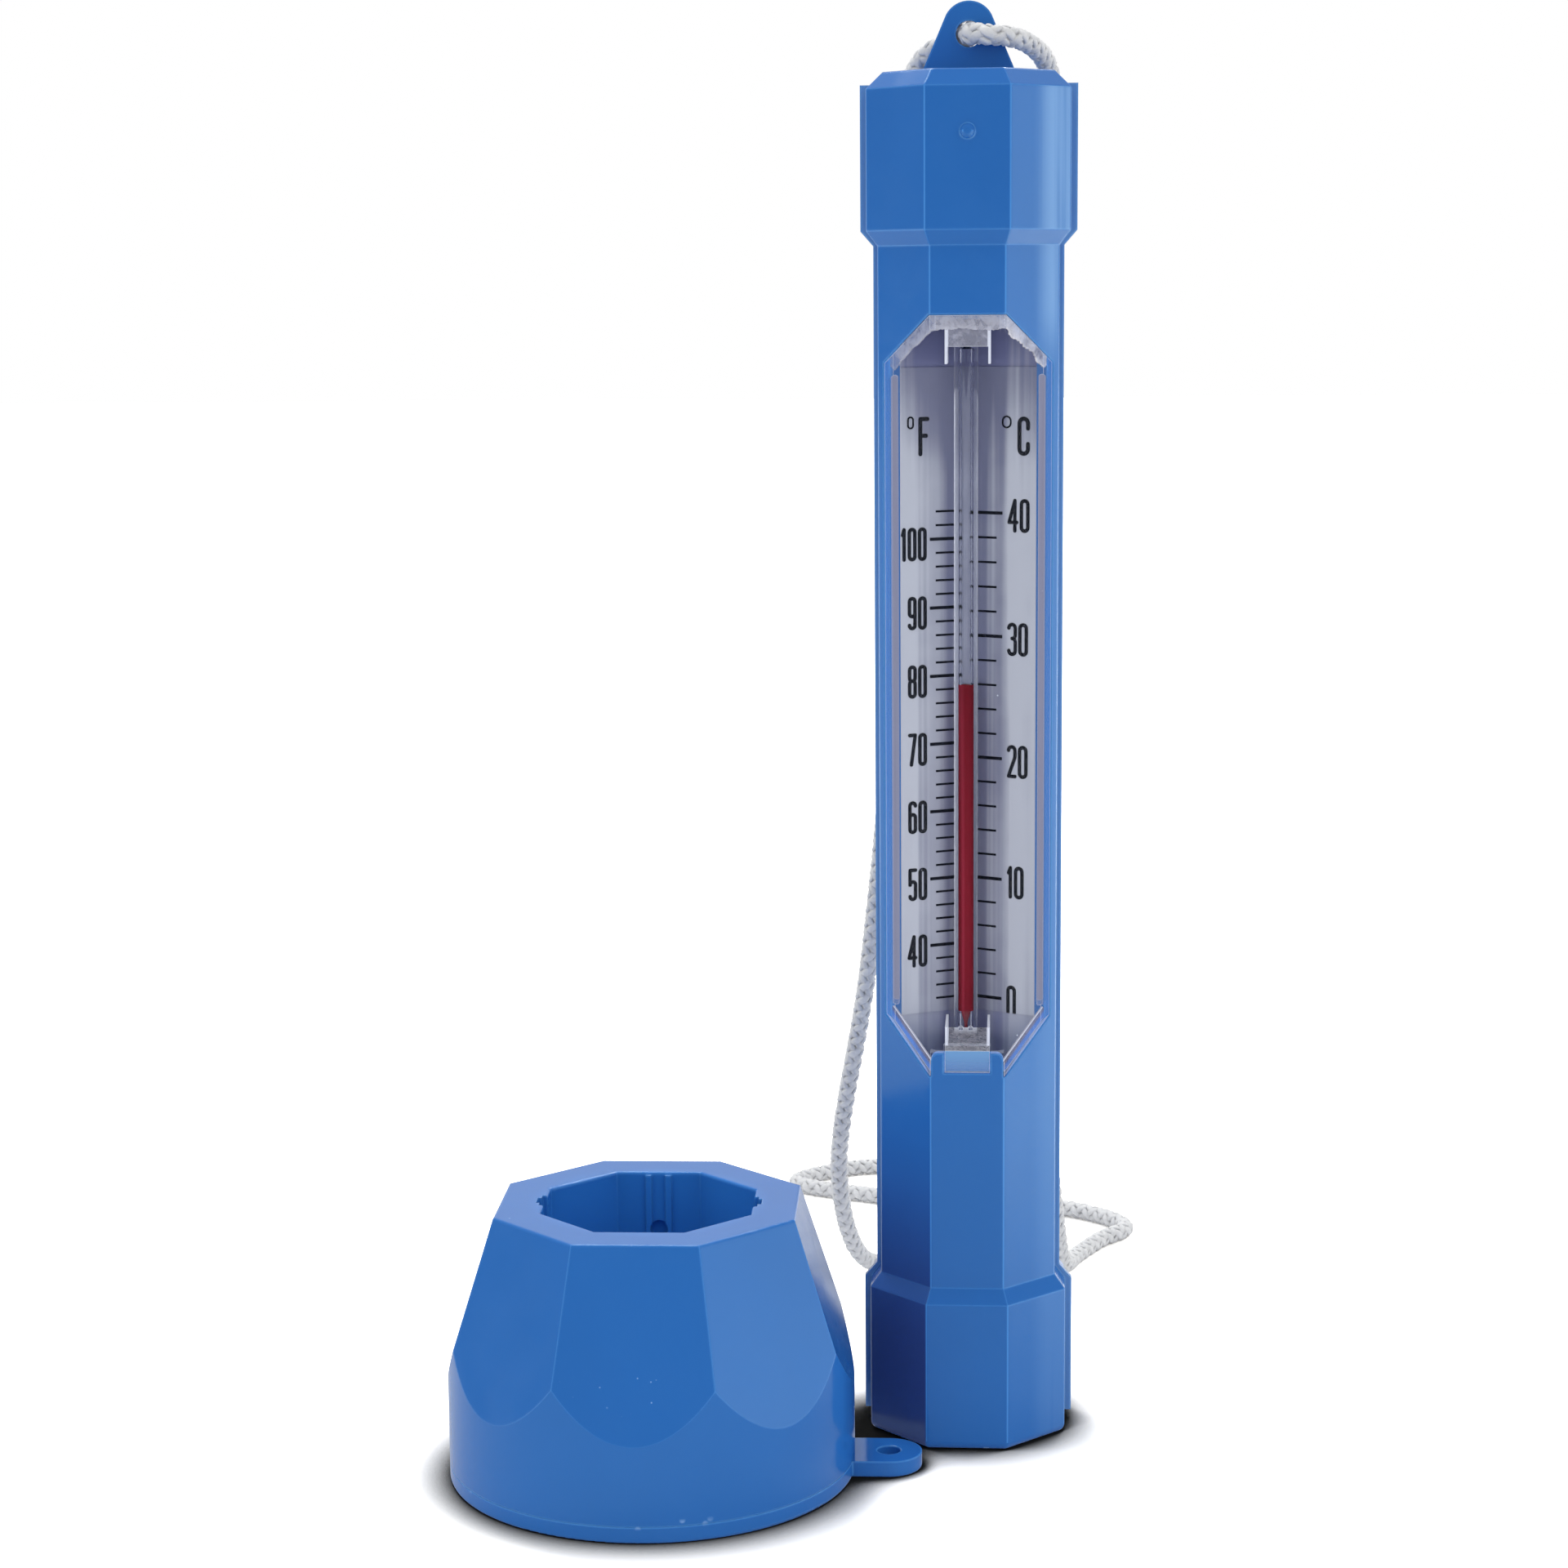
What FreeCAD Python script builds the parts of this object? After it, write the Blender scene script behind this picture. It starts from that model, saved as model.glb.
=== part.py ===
import FreeCAD, Part
import math
import os
import re

import Sketcher

# Floating pool thermometer. The frame: origin at the centre of the tube's bottom face, +Z up the tube,
# the window faces -Y. The loose float collar stands beside the tube. Millimetres and degrees.

SIZES = {
    # tube
    "tube_height": (200, "floor to the top of the hanging tab"),
    "hub_flats": (27.6, "across flats, foot and head"),
    "barrel_flats": (24.6, "across flats, between the hubs"),
    "wall": (1.6, "housing wall"),
    "floor_thick": (1.8, "end walls"),
    "foot_shoulder": (21.2, "top of the foot's straight side"),
    "head_shoulder": (169.4, "bottom of the head's straight side"),
    "shoulder_slope": (2, "height of the slope from hub to barrel"),
    "head_top": (190.5, "flat top of the head"),
    "corner_round": (0.6, "round of the long corners"),
    "foot_round": (1.2, "round under the foot"),
    "head_chamfer": (2.3, "slope round the flat top"),
    "head_round": (0.5, "round of the flat top's edge"),
    "seam_low": (1.5, "lower end of the seam flange"),
    "seam_high": (189, "upper end of the seam flange"),
    "seam_thick": (1.2, "both halves together"),
    "seam_proud_hub": (1, "flange beyond the hub flat"),
    "seam_proud_barrel": (0.75, "flange beyond the barrel flat"),
    "pip_radius": (1, "snap pip"),
    "pip_height": (182.2, "centre of the snap pip"),
    "pip_proud": (0.6, "snap pip"),
    # hanging tab
    "tab_thick": (2.4, "both halves together"),
    "tab_radius": (3.5, "round top"),
    "tab_lean": (28.5, "lean of the sides"),
    "tab_hole_radius": (1.75, "cord hole"),
    "tab_hole_height": (195.6, "cord hole centre"),
    # window
    "window_low": (53.6, "lower edge"),
    "window_high": (158.2, "upper edge"),
    "window_front_half": (5.2, "half the width of the top edge"),
    "window_side_half": (11.45, "half the width between the long sides"),
    "window_slant": (6.5, "height of the upper slanted corners"),
    "window_slant_low": (7.4, "height of the lower slanted corners"),
    "window_depth": (7.8, "from the front flat to the rebate's floor"),
    "lip_top": (56.9, "lip under the window"),
    "lip_half": (5, "half the lip's width"),
    "lip_round": (1, "lip's upper corners"),
    "lens_thick": (1.6, "window pane"),
    "lens_gap": (0.1, "round the window pane"),
    "lens_recess": (0.15, "pane below the facets"),
    "leg_out": (10.5, "outside of the window's legs"),
    "leg_in": (9.6, "inside of the window's legs"),
    "leg_back": (2, "rear edge of the legs, in front of the seam"),
    "leg_root": (5.85, "front edge of the legs, inside the pane"),
    "leg_round": (0.5, "bend of the legs' ends"),
    "leg_low": (62, "lower end of the legs"),
    "leg_high": (150.2, "upper end of the legs"),
    "film_gap": (0.02, "air between layers that lie on each other"),
    "glue_thick": (0.3, "adhesive layer"),
    "glue_band": (2.1, "width of the adhesive band"),
    # tube clips
    "clip_half": (3.1, "half the width"),
    "clip_wall": (0.35, "prong"),
    "clip_gap": (0.15, "round the clip"),
    "clip_tongue": (0.7, "tongue over the lip"),
    "clip_tongue_low": (54.2, "lower end of the tongue"),
    "clip_saddle_front": (57.3, "top of the lower saddle, front edge"),
    "clip_saddle_top": (58.9, "top of the lower saddle, rear edge"),
    "clip_notch_top": (58, "notch for the saddle in the pane"),
    "clip_prong_top": (60.2, "tip of the lower prongs"),
    "stop_radius": (0.38, "two round stops on the saddle"),
    "stop_apart": (0.68, "each stop from the glass tube's axis"),
    "stop_inset": (0.62, "stops in front of the saddle's rear edge"),
    "clip_back": (2.35, "rear edge of the prongs"),
    "clip_front": (10.2, "front edge of the prongs"),
    "cap_low": (153.9, "underside of the upper saddle"),
    "cap_high": (156.6, "top of the upper saddle"),
    "cap_prong_low": (151.6, "tip of the upper prongs"),
    # scale trough
    "trough_lean": (27, "slope of the flanks"),
    "trough_bend": (1.5, "half the width of the round bottom"),
    "trough_bottom": (0.86, "depth of the printed face in front of the seam"),
    "trough_half": (9.3, "half width"),
    "trough_thick": (0.9, "carrier"),
    "sheet_thick": (0.15, "printed sheet"),
    "carrier_low": (54.2, "lower end of the carrier"),
    "carrier_high": (157.4, "upper end of the carrier"),
    "sheet_low": (60.7, "lower end of the sheet"),
    "sheet_high": (151, "upper end of the sheet"),
    # print
    "ink": (0.04, "thickness of the print"),
    "print_shift": (-0.3, "print and glass tube off the middle"),
    "celsius_zero": (62.65, "height of 0 degrees Celsius and of 32 degrees Fahrenheit"),
    "celsius_step": (1.709, "height of one degree Celsius"),
    "fahrenheit_step": (0.953, "height of one degree Fahrenheit"),
    "tick_minor": (0.29, "height of a short tick"),
    "tick_major": (0.44, "height of a long tick"),
    "tick_in": (1.3, "inner end of the ticks from the middle of the print"),
    "tick_length": (2.9, "short tick"),
    "tick_longer": (0.8, "extra length of a long tick"),
    "digit_height": (4.6, "numerals"),
    "digit_gap": (0.24, "between numerals"),
    "digit_stroke": (0.47, "line width of the numerals"),
    "left_digit_width": (1.31, "Fahrenheit numerals"),
    "left_digit_drop": (0.62, "Fahrenheit numerals below their tick"),
    "left_digit_edge": (5.75, "inner edge of the Fahrenheit numerals"),
    "right_digit_width": (1.46, "Celsius numerals"),
    "right_digit_drop": (0.3, "Celsius numerals below their tick"),
    "right_digit_edge": (5.42, "inner edge of the Celsius numerals"),
    "letter_height": (5.3, "unit letters"),
    "letter_low": (138.95, "foot of the unit letters"),
    "letter_stroke": (0.54, "line width of the unit letters"),
    "left_letter_start": (-6.8, "left edge of the F"),
    "left_letter_width": (1.6, "F"),
    "right_letter_start": (6.76, "left edge of the C"),
    "right_letter_width": (1.85, "C"),
    "ring_height": (1.7, "degree rings"),
    "ring_low": (142.65, "foot of the degree rings"),
    "ring_stroke": (0.19, "line width of the degree rings"),
    "left_ring_start": (-8.32, "left edge of the left ring"),
    "left_ring_width": (0.97, "left degree ring"),
    "right_ring_start": (4.62, "left edge of the right ring"),
    "right_ring_width": (1.44, "right degree ring"),
    # glass
    "glass_radius": (1.65, "glass tube"),
    "bore_radius": (0.7, "capillary"),
    "glass_depth": (3, "tube axis in front of the seam"),
    "glass_top": (155.8, "sealed end"),
    "bulb_radius": (2.9, "bulb"),
    "bulb_low": (31, "bottom of the bulb"),
    "bulb_high": (51, "top of the bulb"),
    "bulb_wall": (0.8, "bulb"),
    "neck": (3, "height of the neck over the bulb"),
    "spirit_gap": (0.05, "between spirit and glass in the model"),
    "spirit_split": (57.5, "fixed lower end of the moving column"),
    "spirit_top": (107.3, "meniscus"),
    "ballast_radius": (10.5, "ballast"),
    "ballast_high": (19, "top of the ballast"),
    "ledge_thick": (1.2, "ledges behind the carrier"),
    "ledge_half": (6, "half the width of the ledges"),
    "ledge_front": (0.3, "front of the ledges, behind the seam"),
    # cord
    "cord_radius": (1.45, "braided cord"),
    # float collar
    "float_x": (-43.5, "collar centre"),
    "float_y": (-21.7, "collar centre"),
    "float_turn": (1.1, "collar turned about its axis"),
    "float_radius": (28.1, "round wall"),
    "float_height": (38.1, "collar"),
    "float_flats": (40.8, "across flats of the top"),
    "float_lean": (17.2, "slope of the facets"),
    "float_wall": (1.8, "walls"),
    "float_edge": (0.35, "round of the facet edges"),
    "rim_round": (0.4, "round of the bore's rim"),
    "float_bore": (28.6, "across flats of the bore"),
    "notch_wide": (2.3, "half width of the shallow notch"),
    "notch_shallow": (15, "reach of the shallow notch"),
    "notch_narrow": (1.2, "half width of the deep notch"),
    "notch_deep": (15.5, "reach of the deep notch"),
    "rib_gap": (0.95, "half the distance between the guide ribs"),
    "rib_wide": (0.9, "guide rib"),
    "rib_proud": (0.45, "guide rib"),
    "detent_radius": (1.25, "hole for the snap pip"),
    "detent_drop": (8.3, "detent below the rim"),
    "detent_depth": (1.1, "into the sleeve, which is thicker"),
    "overlap": (0.2, "how far joined features reach into each other"),
    "base_thick": (2.3, "base plate"),
    "base_round": (0.5, "round under the base"),
    "ring_high": (1.2, "locating ring of the base"),
    "ring_thick": (1.2, "locating ring of the base"),
    "ring_gap": (0.1, "locating ring to the wall"),
    "eyelet_x": (32.8, "eyelet centre from the collar centre"),
    "eyelet_y": (0.9, "eyelet centre from the collar centre"),
    "eyelet_radius": (4.6, "eyelet"),
    "eyelet_hole": (1.65, "eyelet hole radius"),
}

DOC = FreeCAD.newDocument("PoolThermometer")
SHEET = DOC.addObject("Spreadsheet::Sheet", "Sizes")
for row, (alias, (amount, note)) in enumerate(SIZES.items(), 1):
    SHEET.set(f"A{row}", alias)
    SHEET.set(f"B{row}", str(amount))
    SHEET.set(f"C{row}", note)
    SHEET.setAlias(f"B{row}", alias)
DOC.recompute()

UP = FreeCAD.Vector(0, 0, 1)
FRONT, REAR = -1, 1
CORNER = "tan(22.5)"  # of half the width across flats: half the length of an octagon's side


def formula(text):
    """A formula in alias names, as the document's expression engine reads it."""
    return re.sub(r"[a-z_]+", lambda word: qualified(word.group()), str(text))


def qualified(word):
    return f"Sizes.{word}" if word in SIZES else word


def size(text):
    """The number that a formula in alias names gives now."""
    return float(SHEET.evalExpression(formula(text)))


def close(a, b, tolerance=0.01):
    return abs(a - b) < tolerance


# ---------------------------------------------------------------- sketches


def add_loop(sketch, corners):
    """A closed loop. A corner is (x, y) or (x, y, radius), the radius bending the side that leaves it:
    positive turns left, negative turns right. Every corner is held by formulas."""
    count = len(corners)
    places = [FreeCAD.Vector(size(corner[0]), size(corner[1]), 0) for corner in corners]
    sides = []
    for index, corner in enumerate(corners):
        start, end = places[index], places[(index + 1) % count]
        if len(corner) == 2:
            side = sketch.addGeometry(Part.LineSegment(start, end), False)
            sides.append((side, 1, 2))
        else:
            sides.append(add_arc(sketch, start, end, corner[2]))
    for index, (side, first, last) in enumerate(sides):
        following = sides[(index + 1) % count]
        sketch.addConstraint(Sketcher.Constraint("Coincident", side, last, following[0], following[1]))
        hold_point(sketch, side, first, corners[index][0], corners[index][1])
    for corner, (side, first, last) in zip(corners, sides):
        if len(corner) == 3:
            add_size(sketch, f"abs({corner[2]})", "Radius", side)


def add_arc(sketch, start, end, radius):
    """An arc of less than half a turn. Its ends are numbered the way it runs, anticlockwise."""
    bend = size(radius)
    chord = end - start
    left = FreeCAD.Vector(-chord.y, chord.x, 0).normalize()
    reach = math.sqrt(bend**2 - (chord.Length / 2) ** 2)
    centre = (start + end) * 0.5 + left * math.copysign(reach, bend)
    first, last = (start, end) if bend > 0 else (end, start)
    angles = [math.atan2(point.y - centre.y, point.x - centre.x) for point in (first, last)]
    if angles[1] < angles[0]:
        angles[1] += 2 * math.pi
    circle = Part.Circle(centre, UP, abs(bend))
    side = sketch.addGeometry(Part.ArcOfCircle(circle, *angles), False)
    return (side, 1, 2) if bend > 0 else (side, 2, 1)


def add_circle(sketch, x, y, radius):
    centre = FreeCAD.Vector(size(x), size(y), 0)
    circle = sketch.addGeometry(Part.Circle(centre, UP, size(radius)), False)
    hold_point(sketch, circle, 3, x, y)
    add_size(sketch, radius, "Radius", circle)


def hold_point(sketch, side, end, x, y):
    """Holds one point of a sketch at formula coordinates."""
    for kind, text, axis in (("DistanceX", x, -2), ("DistanceY", y, -1)):
        place = size(text)
        if close(place, 0, 1e-9):
            sketch.addConstraint(Sketcher.Constraint("PointOnObject", side, end, axis))
        elif place > 0:
            add_size(sketch, text, kind, -1, 1, side, end)
        else:
            add_size(sketch, f"-({text})", kind, side, end, -1, 1)


def add_size(sketch, text, kind, *where):
    number = sketch.addConstraint(Sketcher.Constraint(kind, *where, size(text)))
    sketch.setExpression(f"Constraints[{number}]", formula(text))


def new_sketch(body, name, role, offset="0"):
    """An empty sketch on one of the body's own origin planes. XZ_Plane sketches face -Y."""
    sketch = body.newObject("Sketcher::SketchObject", name)
    plane = next(item for item in body.Origin.OriginFeatures if item.Role == role)
    sketch.AttachmentSupport = [(plane, "")]
    sketch.MapMode = "FlatFace"
    sketch.setExpression("AttachmentOffset.Base.z", formula(offset))
    return sketch


def level(body, name, height, *loops):
    """A sketch of closed loops on a horizontal plane."""
    sketch = new_sketch(body, name, "XY_Plane", height)
    for loop in loops:
        add_loop(sketch, loop)
    return sketch


def upright(body, name, forward, *loops):
    """A sketch of closed loops on a plane that faces the front, a distance in front of the seam."""
    sketch = new_sketch(body, name, "XZ_Plane", forward)
    for loop in loops:
        add_loop(sketch, loop)
    return sketch


# ---------------------------------------------------------------- features


def new_body(label):
    body = DOC.addObject("PartDesign::Body", label)
    body.Label = label
    return body


def feature(body, kind, sketch, length, flipped):
    made = body.newObject(f"PartDesign::{kind}", f"{sketch.Name}{kind}")
    made.Profile = sketch
    made.setExpression("Length", formula(length))
    made.Reversed = flipped
    return made


def pad(body, sketch, length, flipped=False):
    """Adds material along the sketch's normal, or against it when flipped."""
    return feature(body, "Pad", sketch, length, flipped)


def pocket(body, sketch, length, flipped=False):
    """Takes material away against the sketch's normal, or along it when flipped."""
    DOC.recompute()
    before = body.Shape.Volume
    made = feature(body, "Pocket", sketch, length, flipped)
    DOC.recompute()
    if body.Shape.Volume >= before:
        raise RuntimeError(f"{sketch.Name} cuts nothing")
    return made


def loft(body, low, high):
    made = body.newObject("PartDesign::AdditiveLoft", f"{low.Name}Loft")
    made.Profile = low
    made.Sections = [high]
    made.Ruled = True
    return made


def revolve(body, sketch):
    """A full turn about the sketch's vertical axis."""
    made = body.newObject("PartDesign::Revolution", f"{sketch.Name}Turn")
    made.Profile = sketch
    made.ReferenceAxis = (sketch, ["V_Axis"])
    made.Angle = 360
    return made


def fillet(body, name, radius, chosen):
    """Rounds the edges of the body so far that chosen accepts."""
    DOC.recompute()
    base = body.Tip
    edges = [f"Edge{index}" for index, edge in enumerate(base.Shape.Edges, 1) if chosen(edge)]
    made = body.newObject("PartDesign::Fillet", name)
    made.Base = (base, edges)
    made.setExpression("Radius", formula(radius))
    return made


def box(name, x, y, z, length, width, height):
    """A block from its lowest corner and its three sides."""
    block = DOC.addObject("Part::Box", name)
    for side, text in (("Length", length), ("Width", width), ("Height", height)):
        block.setExpression(side, formula(text))
    for axis, text in (("x", x), ("y", y), ("z", z)):
        block.setExpression(f"Placement.Base.{axis}", formula(text))
    return block


def cylinder(name, radius, low, height):
    drum = DOC.addObject("Part::Cylinder", name)
    drum.setExpression("Radius", formula(radius))
    drum.setExpression("Height", formula(height))
    drum.setExpression("Placement.Base.z", formula(low))
    return drum


def joined(label, pieces):
    whole = DOC.addObject("Part::MultiFuse", label)
    whole.Shapes = pieces
    whole.Label = label
    return whole


def octagon(flats):
    """Corners of an octagon with flats facing the axes."""
    far = f"({flats})/2"
    near = f"({flats})/2*{CORNER}"
    return [
        (near, f"-{far}"), (far, f"-{near}"), (far, near), (near, far),
        (f"-{near}", far), (f"-{far}", near), (f"-{far}", f"-{near}"), (f"-{near}", f"-{far}"),
    ]


# ---------------------------------------------------------------- housing


def half_octagon(flats, face):
    """The corners of an octagon on one side of the seam, and its two ends on the seam."""
    far = f"({flats})/2"
    near = f"({flats})/2*{CORNER}"
    return [
        (f"-{far}", "0"), (f"-{far}", f"{face}*{near}"), (f"-{near}", f"{face}*{far}"),
        (near, f"{face}*{far}"), (far, f"{face}*{near}"), (far, "0"),
    ]


def seam_outline():
    """The flange's contour, which follows the hubs and the barrel."""
    hub = "hub_flats/2+seam_proud_hub"
    barrel = "barrel_flats/2+seam_proud_barrel"
    right = [
        (hub, "seam_low"), (hub, "foot_shoulder"), (barrel, "foot_shoulder+shoulder_slope"),
        (barrel, "head_shoulder-shoulder_slope"), (hub, "head_shoulder"), (hub, "seam_high"),
    ]
    return right + [(f"-({x})", z) for x, z in reversed(right)]


def tab_outline():
    """A triangle with a round top, its foot sunk into the head."""
    shoulder = "tab_radius*cos(tab_lean)"
    shoulder_z = "tube_height-tab_radius+tab_radius*sin(tab_lean)"
    sunk = "head_top-floor_thick/2"
    foot = f"{shoulder}+({shoulder_z}-{sunk})*tan(tab_lean)"
    return [
        (f"-({foot})", sunk), (foot, sunk),
        (shoulder, shoulder_z, "tab_radius"), (f"-{shoulder}", shoulder_z),
    ]


def is_outer_corner(edge, flats):
    """A long corner of the octagon, clear of the seam."""
    if len(edge.Vertexes) != 2 or edge.BoundBox.XLength > 0.01 or edge.BoundBox.YLength > 0.01:
        return False
    spot = edge.Vertexes[0].Point
    near, far = size(f"{flats}/2*{CORNER}"), size(f"{flats}/2")
    return any(close(abs(spot.x), x) and close(abs(spot.y), y) for x, y in ((near, far), (far, near)))


def is_end_edge(edge, height):
    """An outside edge of an end face, clear of the seam plane."""
    low, high = edge.BoundBox.ZMin, edge.BoundBox.ZMax
    on_seam = close(edge.BoundBox.YMin, 0) and close(edge.BoundBox.YMax, 0)
    return close(low, height) and close(high, height) and not on_seam


def half_shell(label, face):
    """One half of the housing without its own details: hubs, barrel, flange, tab and cavity."""
    body = new_body(label)
    barrel = half_octagon("barrel_flats", face)
    hub = half_octagon("hub_flats", face)
    pad(body, level(body, f"{label}Foot", "0", hub), "foot_shoulder")
    loft(
        body,
        level(body, f"{label}FootSlopeLow", "foot_shoulder", hub),
        level(body, f"{label}FootSlopeHigh", "foot_shoulder+shoulder_slope", barrel),
    )
    span = "head_shoulder-foot_shoulder-2*shoulder_slope"
    pad(body, level(body, f"{label}Barrel", "foot_shoulder+shoulder_slope", barrel), span)
    loft(
        body,
        level(body, f"{label}HeadSlopeLow", "head_shoulder-shoulder_slope", barrel),
        level(body, f"{label}HeadSlopeHigh", "head_shoulder", hub),
    )
    pad(body, level(body, f"{label}Head", "head_shoulder", hub), "head_top-head_chamfer-head_shoulder")
    loft(
        body,
        level(body, f"{label}HeadTopLow", "head_top-head_chamfer", hub),
        level(body, f"{label}HeadTopHigh", "head_top", half_octagon("hub_flats-2*head_chamfer", face)),
    )
    for flats in ("hub_flats", "barrel_flats"):
        fillet(body, f"{label}Corners_{flats}", "corner_round", lambda edge: is_outer_corner(edge, flats))
    fillet(body, f"{label}FootRound", "foot_round", lambda edge: is_end_edge(edge, 0))
    fillet(body, f"{label}HeadRound", "head_round", lambda edge: is_end_edge(edge, size("head_top")))
    backwards = face == REAR
    pad(body, upright(body, f"{label}Flange", "0", seam_outline()), "seam_thick/2", backwards)
    pad(body, upright(body, f"{label}Tab", "0", tab_outline()), "tab_thick/2", backwards)
    hole = new_sketch(body, f"{label}CordHole", "XZ_Plane")
    add_circle(hole, "0", "tab_hole_height", "tab_hole_radius")
    pocket(body, hole, "tab_thick/2", not backwards)
    for part, flats, low, high in (
        ("FootCavity", "hub_flats", "floor_thick", "foot_shoulder-wall"),
        ("Cavity", "barrel_flats", "floor_thick+wall", "head_top-floor_thick-wall"),
        ("HeadCavity", "hub_flats", "head_shoulder+wall", "head_top-floor_thick"),
    ):
        inside = half_octagon(f"{flats}-2*wall", face)
        pocket(body, level(body, f"{label}{part}", low, inside), f"{high}-({low})", True)
    return body


def window_outline(gap):
    """The window's contour in elevation, drawn in by a gap."""
    side = f"window_side_half-{gap}"
    top = f"window_front_half-{gap}/2"
    upper = [(side, f"window_high-window_slant-{gap}/2"), (top, f"window_high-{gap}")]
    lower = [(top, f"window_low+{gap}"), (side, f"window_low+window_slant_low+{gap}/2")]
    right = lower + upper
    return right + [(f"-({x})", z) for x, z in reversed(right)]


def lip_outline():
    left, right = "-lip_half", "lip_half"
    return [
        (left, "window_low-wall"), (right, "window_low-wall"),
        (right, "lip_top-lip_round", "lip_round"), (f"{right}-lip_round", "lip_top"),
        (f"{left}+lip_round", "lip_top", "lip_round"), (left, "lip_top-lip_round"),
    ]


def front_housing():
    body = half_shell("front_housing", FRONT)
    front = "barrel_flats/2"
    pocket(body, upright(body, "WindowOpening", front, window_outline("0")), "window_depth")
    pad(body, upright(body, "Lip", f"{front}-wall", lip_outline()), "wall")
    recess = rectangle("-(clip_half+clip_gap)", "clip_half+clip_gap", "clip_tongue_low-clip_gap", "lip_top+1")
    pocket(body, upright(body, "ClipRecess", front, recess), "lens_recess+clip_tongue+clip_gap")
    pip = new_sketch(body, "Pip", "XZ_Plane", "hub_flats/2-wall/2")
    add_circle(pip, "0", "pip_height", "pip_radius")
    pad(body, pip, "wall/2+pip_proud")
    face = "hub_flats/2+pip_proud"
    fillet(body, "PipRound", "pip_proud*0.9", lambda edge: close(edge.BoundBox.YMin, -size(face), 0.001))
    return body


def rectangle(left, right, low, high):
    return [(left, low), (right, low), (right, high), (left, high)]


def rear_housing():
    """The rear half, with two ledges that hold the scale carrier from behind."""
    body = half_shell("rear_housing", REAR)
    for name, height in (("LowLedge", "carrier_low"), ("HighLedge", "carrier_high-ledge_thick")):
        block = rectangle("-ledge_half", "ledge_half", height, f"{height}+ledge_thick")
        sketch = upright(body, name, "-(barrel_flats/2-wall/2)", block)
        pad(body, sketch, "barrel_flats/2-wall/2-ledge_front")
    return body


# ---------------------------------------------------------------- window


def facet_layer(outer, inner, reach):
    """A layer that follows the front facet and the two slanted ones, between two depths below them.
    Its slanted parts end square to the facet, at the given half width."""
    outside = f"barrel_flats/2-({outer})"
    inside = f"barrel_flats/2-({inner})"
    thick = f"(({inner})-({outer}))"
    edge = f"({outside})*sqrt(2)-({reach})"
    right = [
        (f"({outside})*{CORNER}", f"-({outside})"),
        (reach, f"-({edge})"),
        (f"({reach})-{thick}*sqrt(0.5)", f"-({edge}-{thick}*sqrt(0.5))"),
        (f"({inside})*{CORNER}", f"-({inside})"),
    ]
    return right + [(f"-({x})", y) for x, y in reversed(right)]


def corner_cuts(outline):
    """The four triangles between a window contour and the rectangle round it."""
    side, top = outline[1][0], outline[0][0]
    cuts = []
    for sign in ("", "-"):
        cuts.append([(f"{sign}({top})", outline[0][1]), (f"{sign}({side})", outline[1][1]),
                     (f"{sign}({side}+1)", outline[1][1]), (f"{sign}({side}+1)", f"{outline[0][1]}-1"),
                     (f"{sign}({top})", f"{outline[0][1]}-1")])
        cuts.append([(f"{sign}({side})", outline[2][1]), (f"{sign}({top})", outline[3][1]),
                     (f"{sign}({top})", f"{outline[3][1]}+1"), (f"{sign}({side}+1)", f"{outline[3][1]}+1"),
                     (f"{sign}({side}+1)", outline[2][1])])
    return cuts


def window_lens():
    body = new_body("window_lens")
    low, high = "window_low+lens_gap", "window_high-lens_gap"
    reach = "window_side_half-lens_gap"
    pane = facet_layer("lens_recess", "lens_recess+lens_thick", reach)
    pad(body, level(body, "Pane", low, pane), f"{high}-({low})")
    cuts = corner_cuts(window_outline("lens_gap"))
    pocket(body, upright(body, "PaneCorners", "barrel_flats/2", *cuts), "barrel_flats/2")
    lip = "(lip_half+lens_gap)"
    notch = "(clip_half+clip_gap)"
    opening = [
        (f"-{lip}", "window_low-1"), (lip, "window_low-1"), (lip, "lip_top+lens_gap"),
        (notch, "lip_top+lens_gap"), (notch, "clip_notch_top"),
        (f"-{notch}", "clip_notch_top"), (f"-{notch}", "lip_top+lens_gap"),
        (f"-{lip}", "lip_top+lens_gap"),
    ]
    pocket(body, upright(body, "LipNotch", "barrel_flats/2", opening), "barrel_flats/2")
    low, high = "leg_low+leg_round", "leg_high-leg_round"
    legs = [
        [(left, low, "leg_round"), (right, low), (right, high, "leg_round"), (left, high)]
        for left, right in (("leg_in", "leg_out"), ("-leg_out", "-leg_in"))
    ]
    pad(body, upright(body, "Legs", "leg_back", *legs), "leg_root-leg_back")
    return body


def window_adhesive():
    """A thin layer behind the pane, along its top edge and its two upper corners."""
    body = new_body("window_adhesive")
    depth = "lens_recess+lens_thick"
    layer = facet_layer(f"{depth}+film_gap", f"{depth}+glue_thick", "window_side_half-glue_band")
    low = "window_high-window_slant"
    pad(body, level(body, "Layer", low, layer), "window_slant-lens_gap")
    outline = window_outline("lens_gap")
    cuts = corner_cuts(outline)
    pocket(body, upright(body, "LayerCorners", "barrel_flats/2", cuts[1], cuts[3]), "barrel_flats/2")
    inset = "glue_band/cos(45)"
    middle = [
        (f"-({outline[2][0]})", f"{low}-1"), (outline[2][0], f"{low}-1"),
        (outline[2][0], f"{outline[2][1]}-{inset}"), (outline[3][0], f"{outline[3][1]}-{inset}"),
        (f"-({outline[3][0]})", f"{outline[3][1]}-{inset}"),
        (f"-({outline[2][0]})", f"{outline[2][1]}-{inset}"),
    ]
    pocket(body, upright(body, "LayerMiddle", "barrel_flats/2", middle), "barrel_flats/2")
    return body


# ---------------------------------------------------------------- scale


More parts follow.
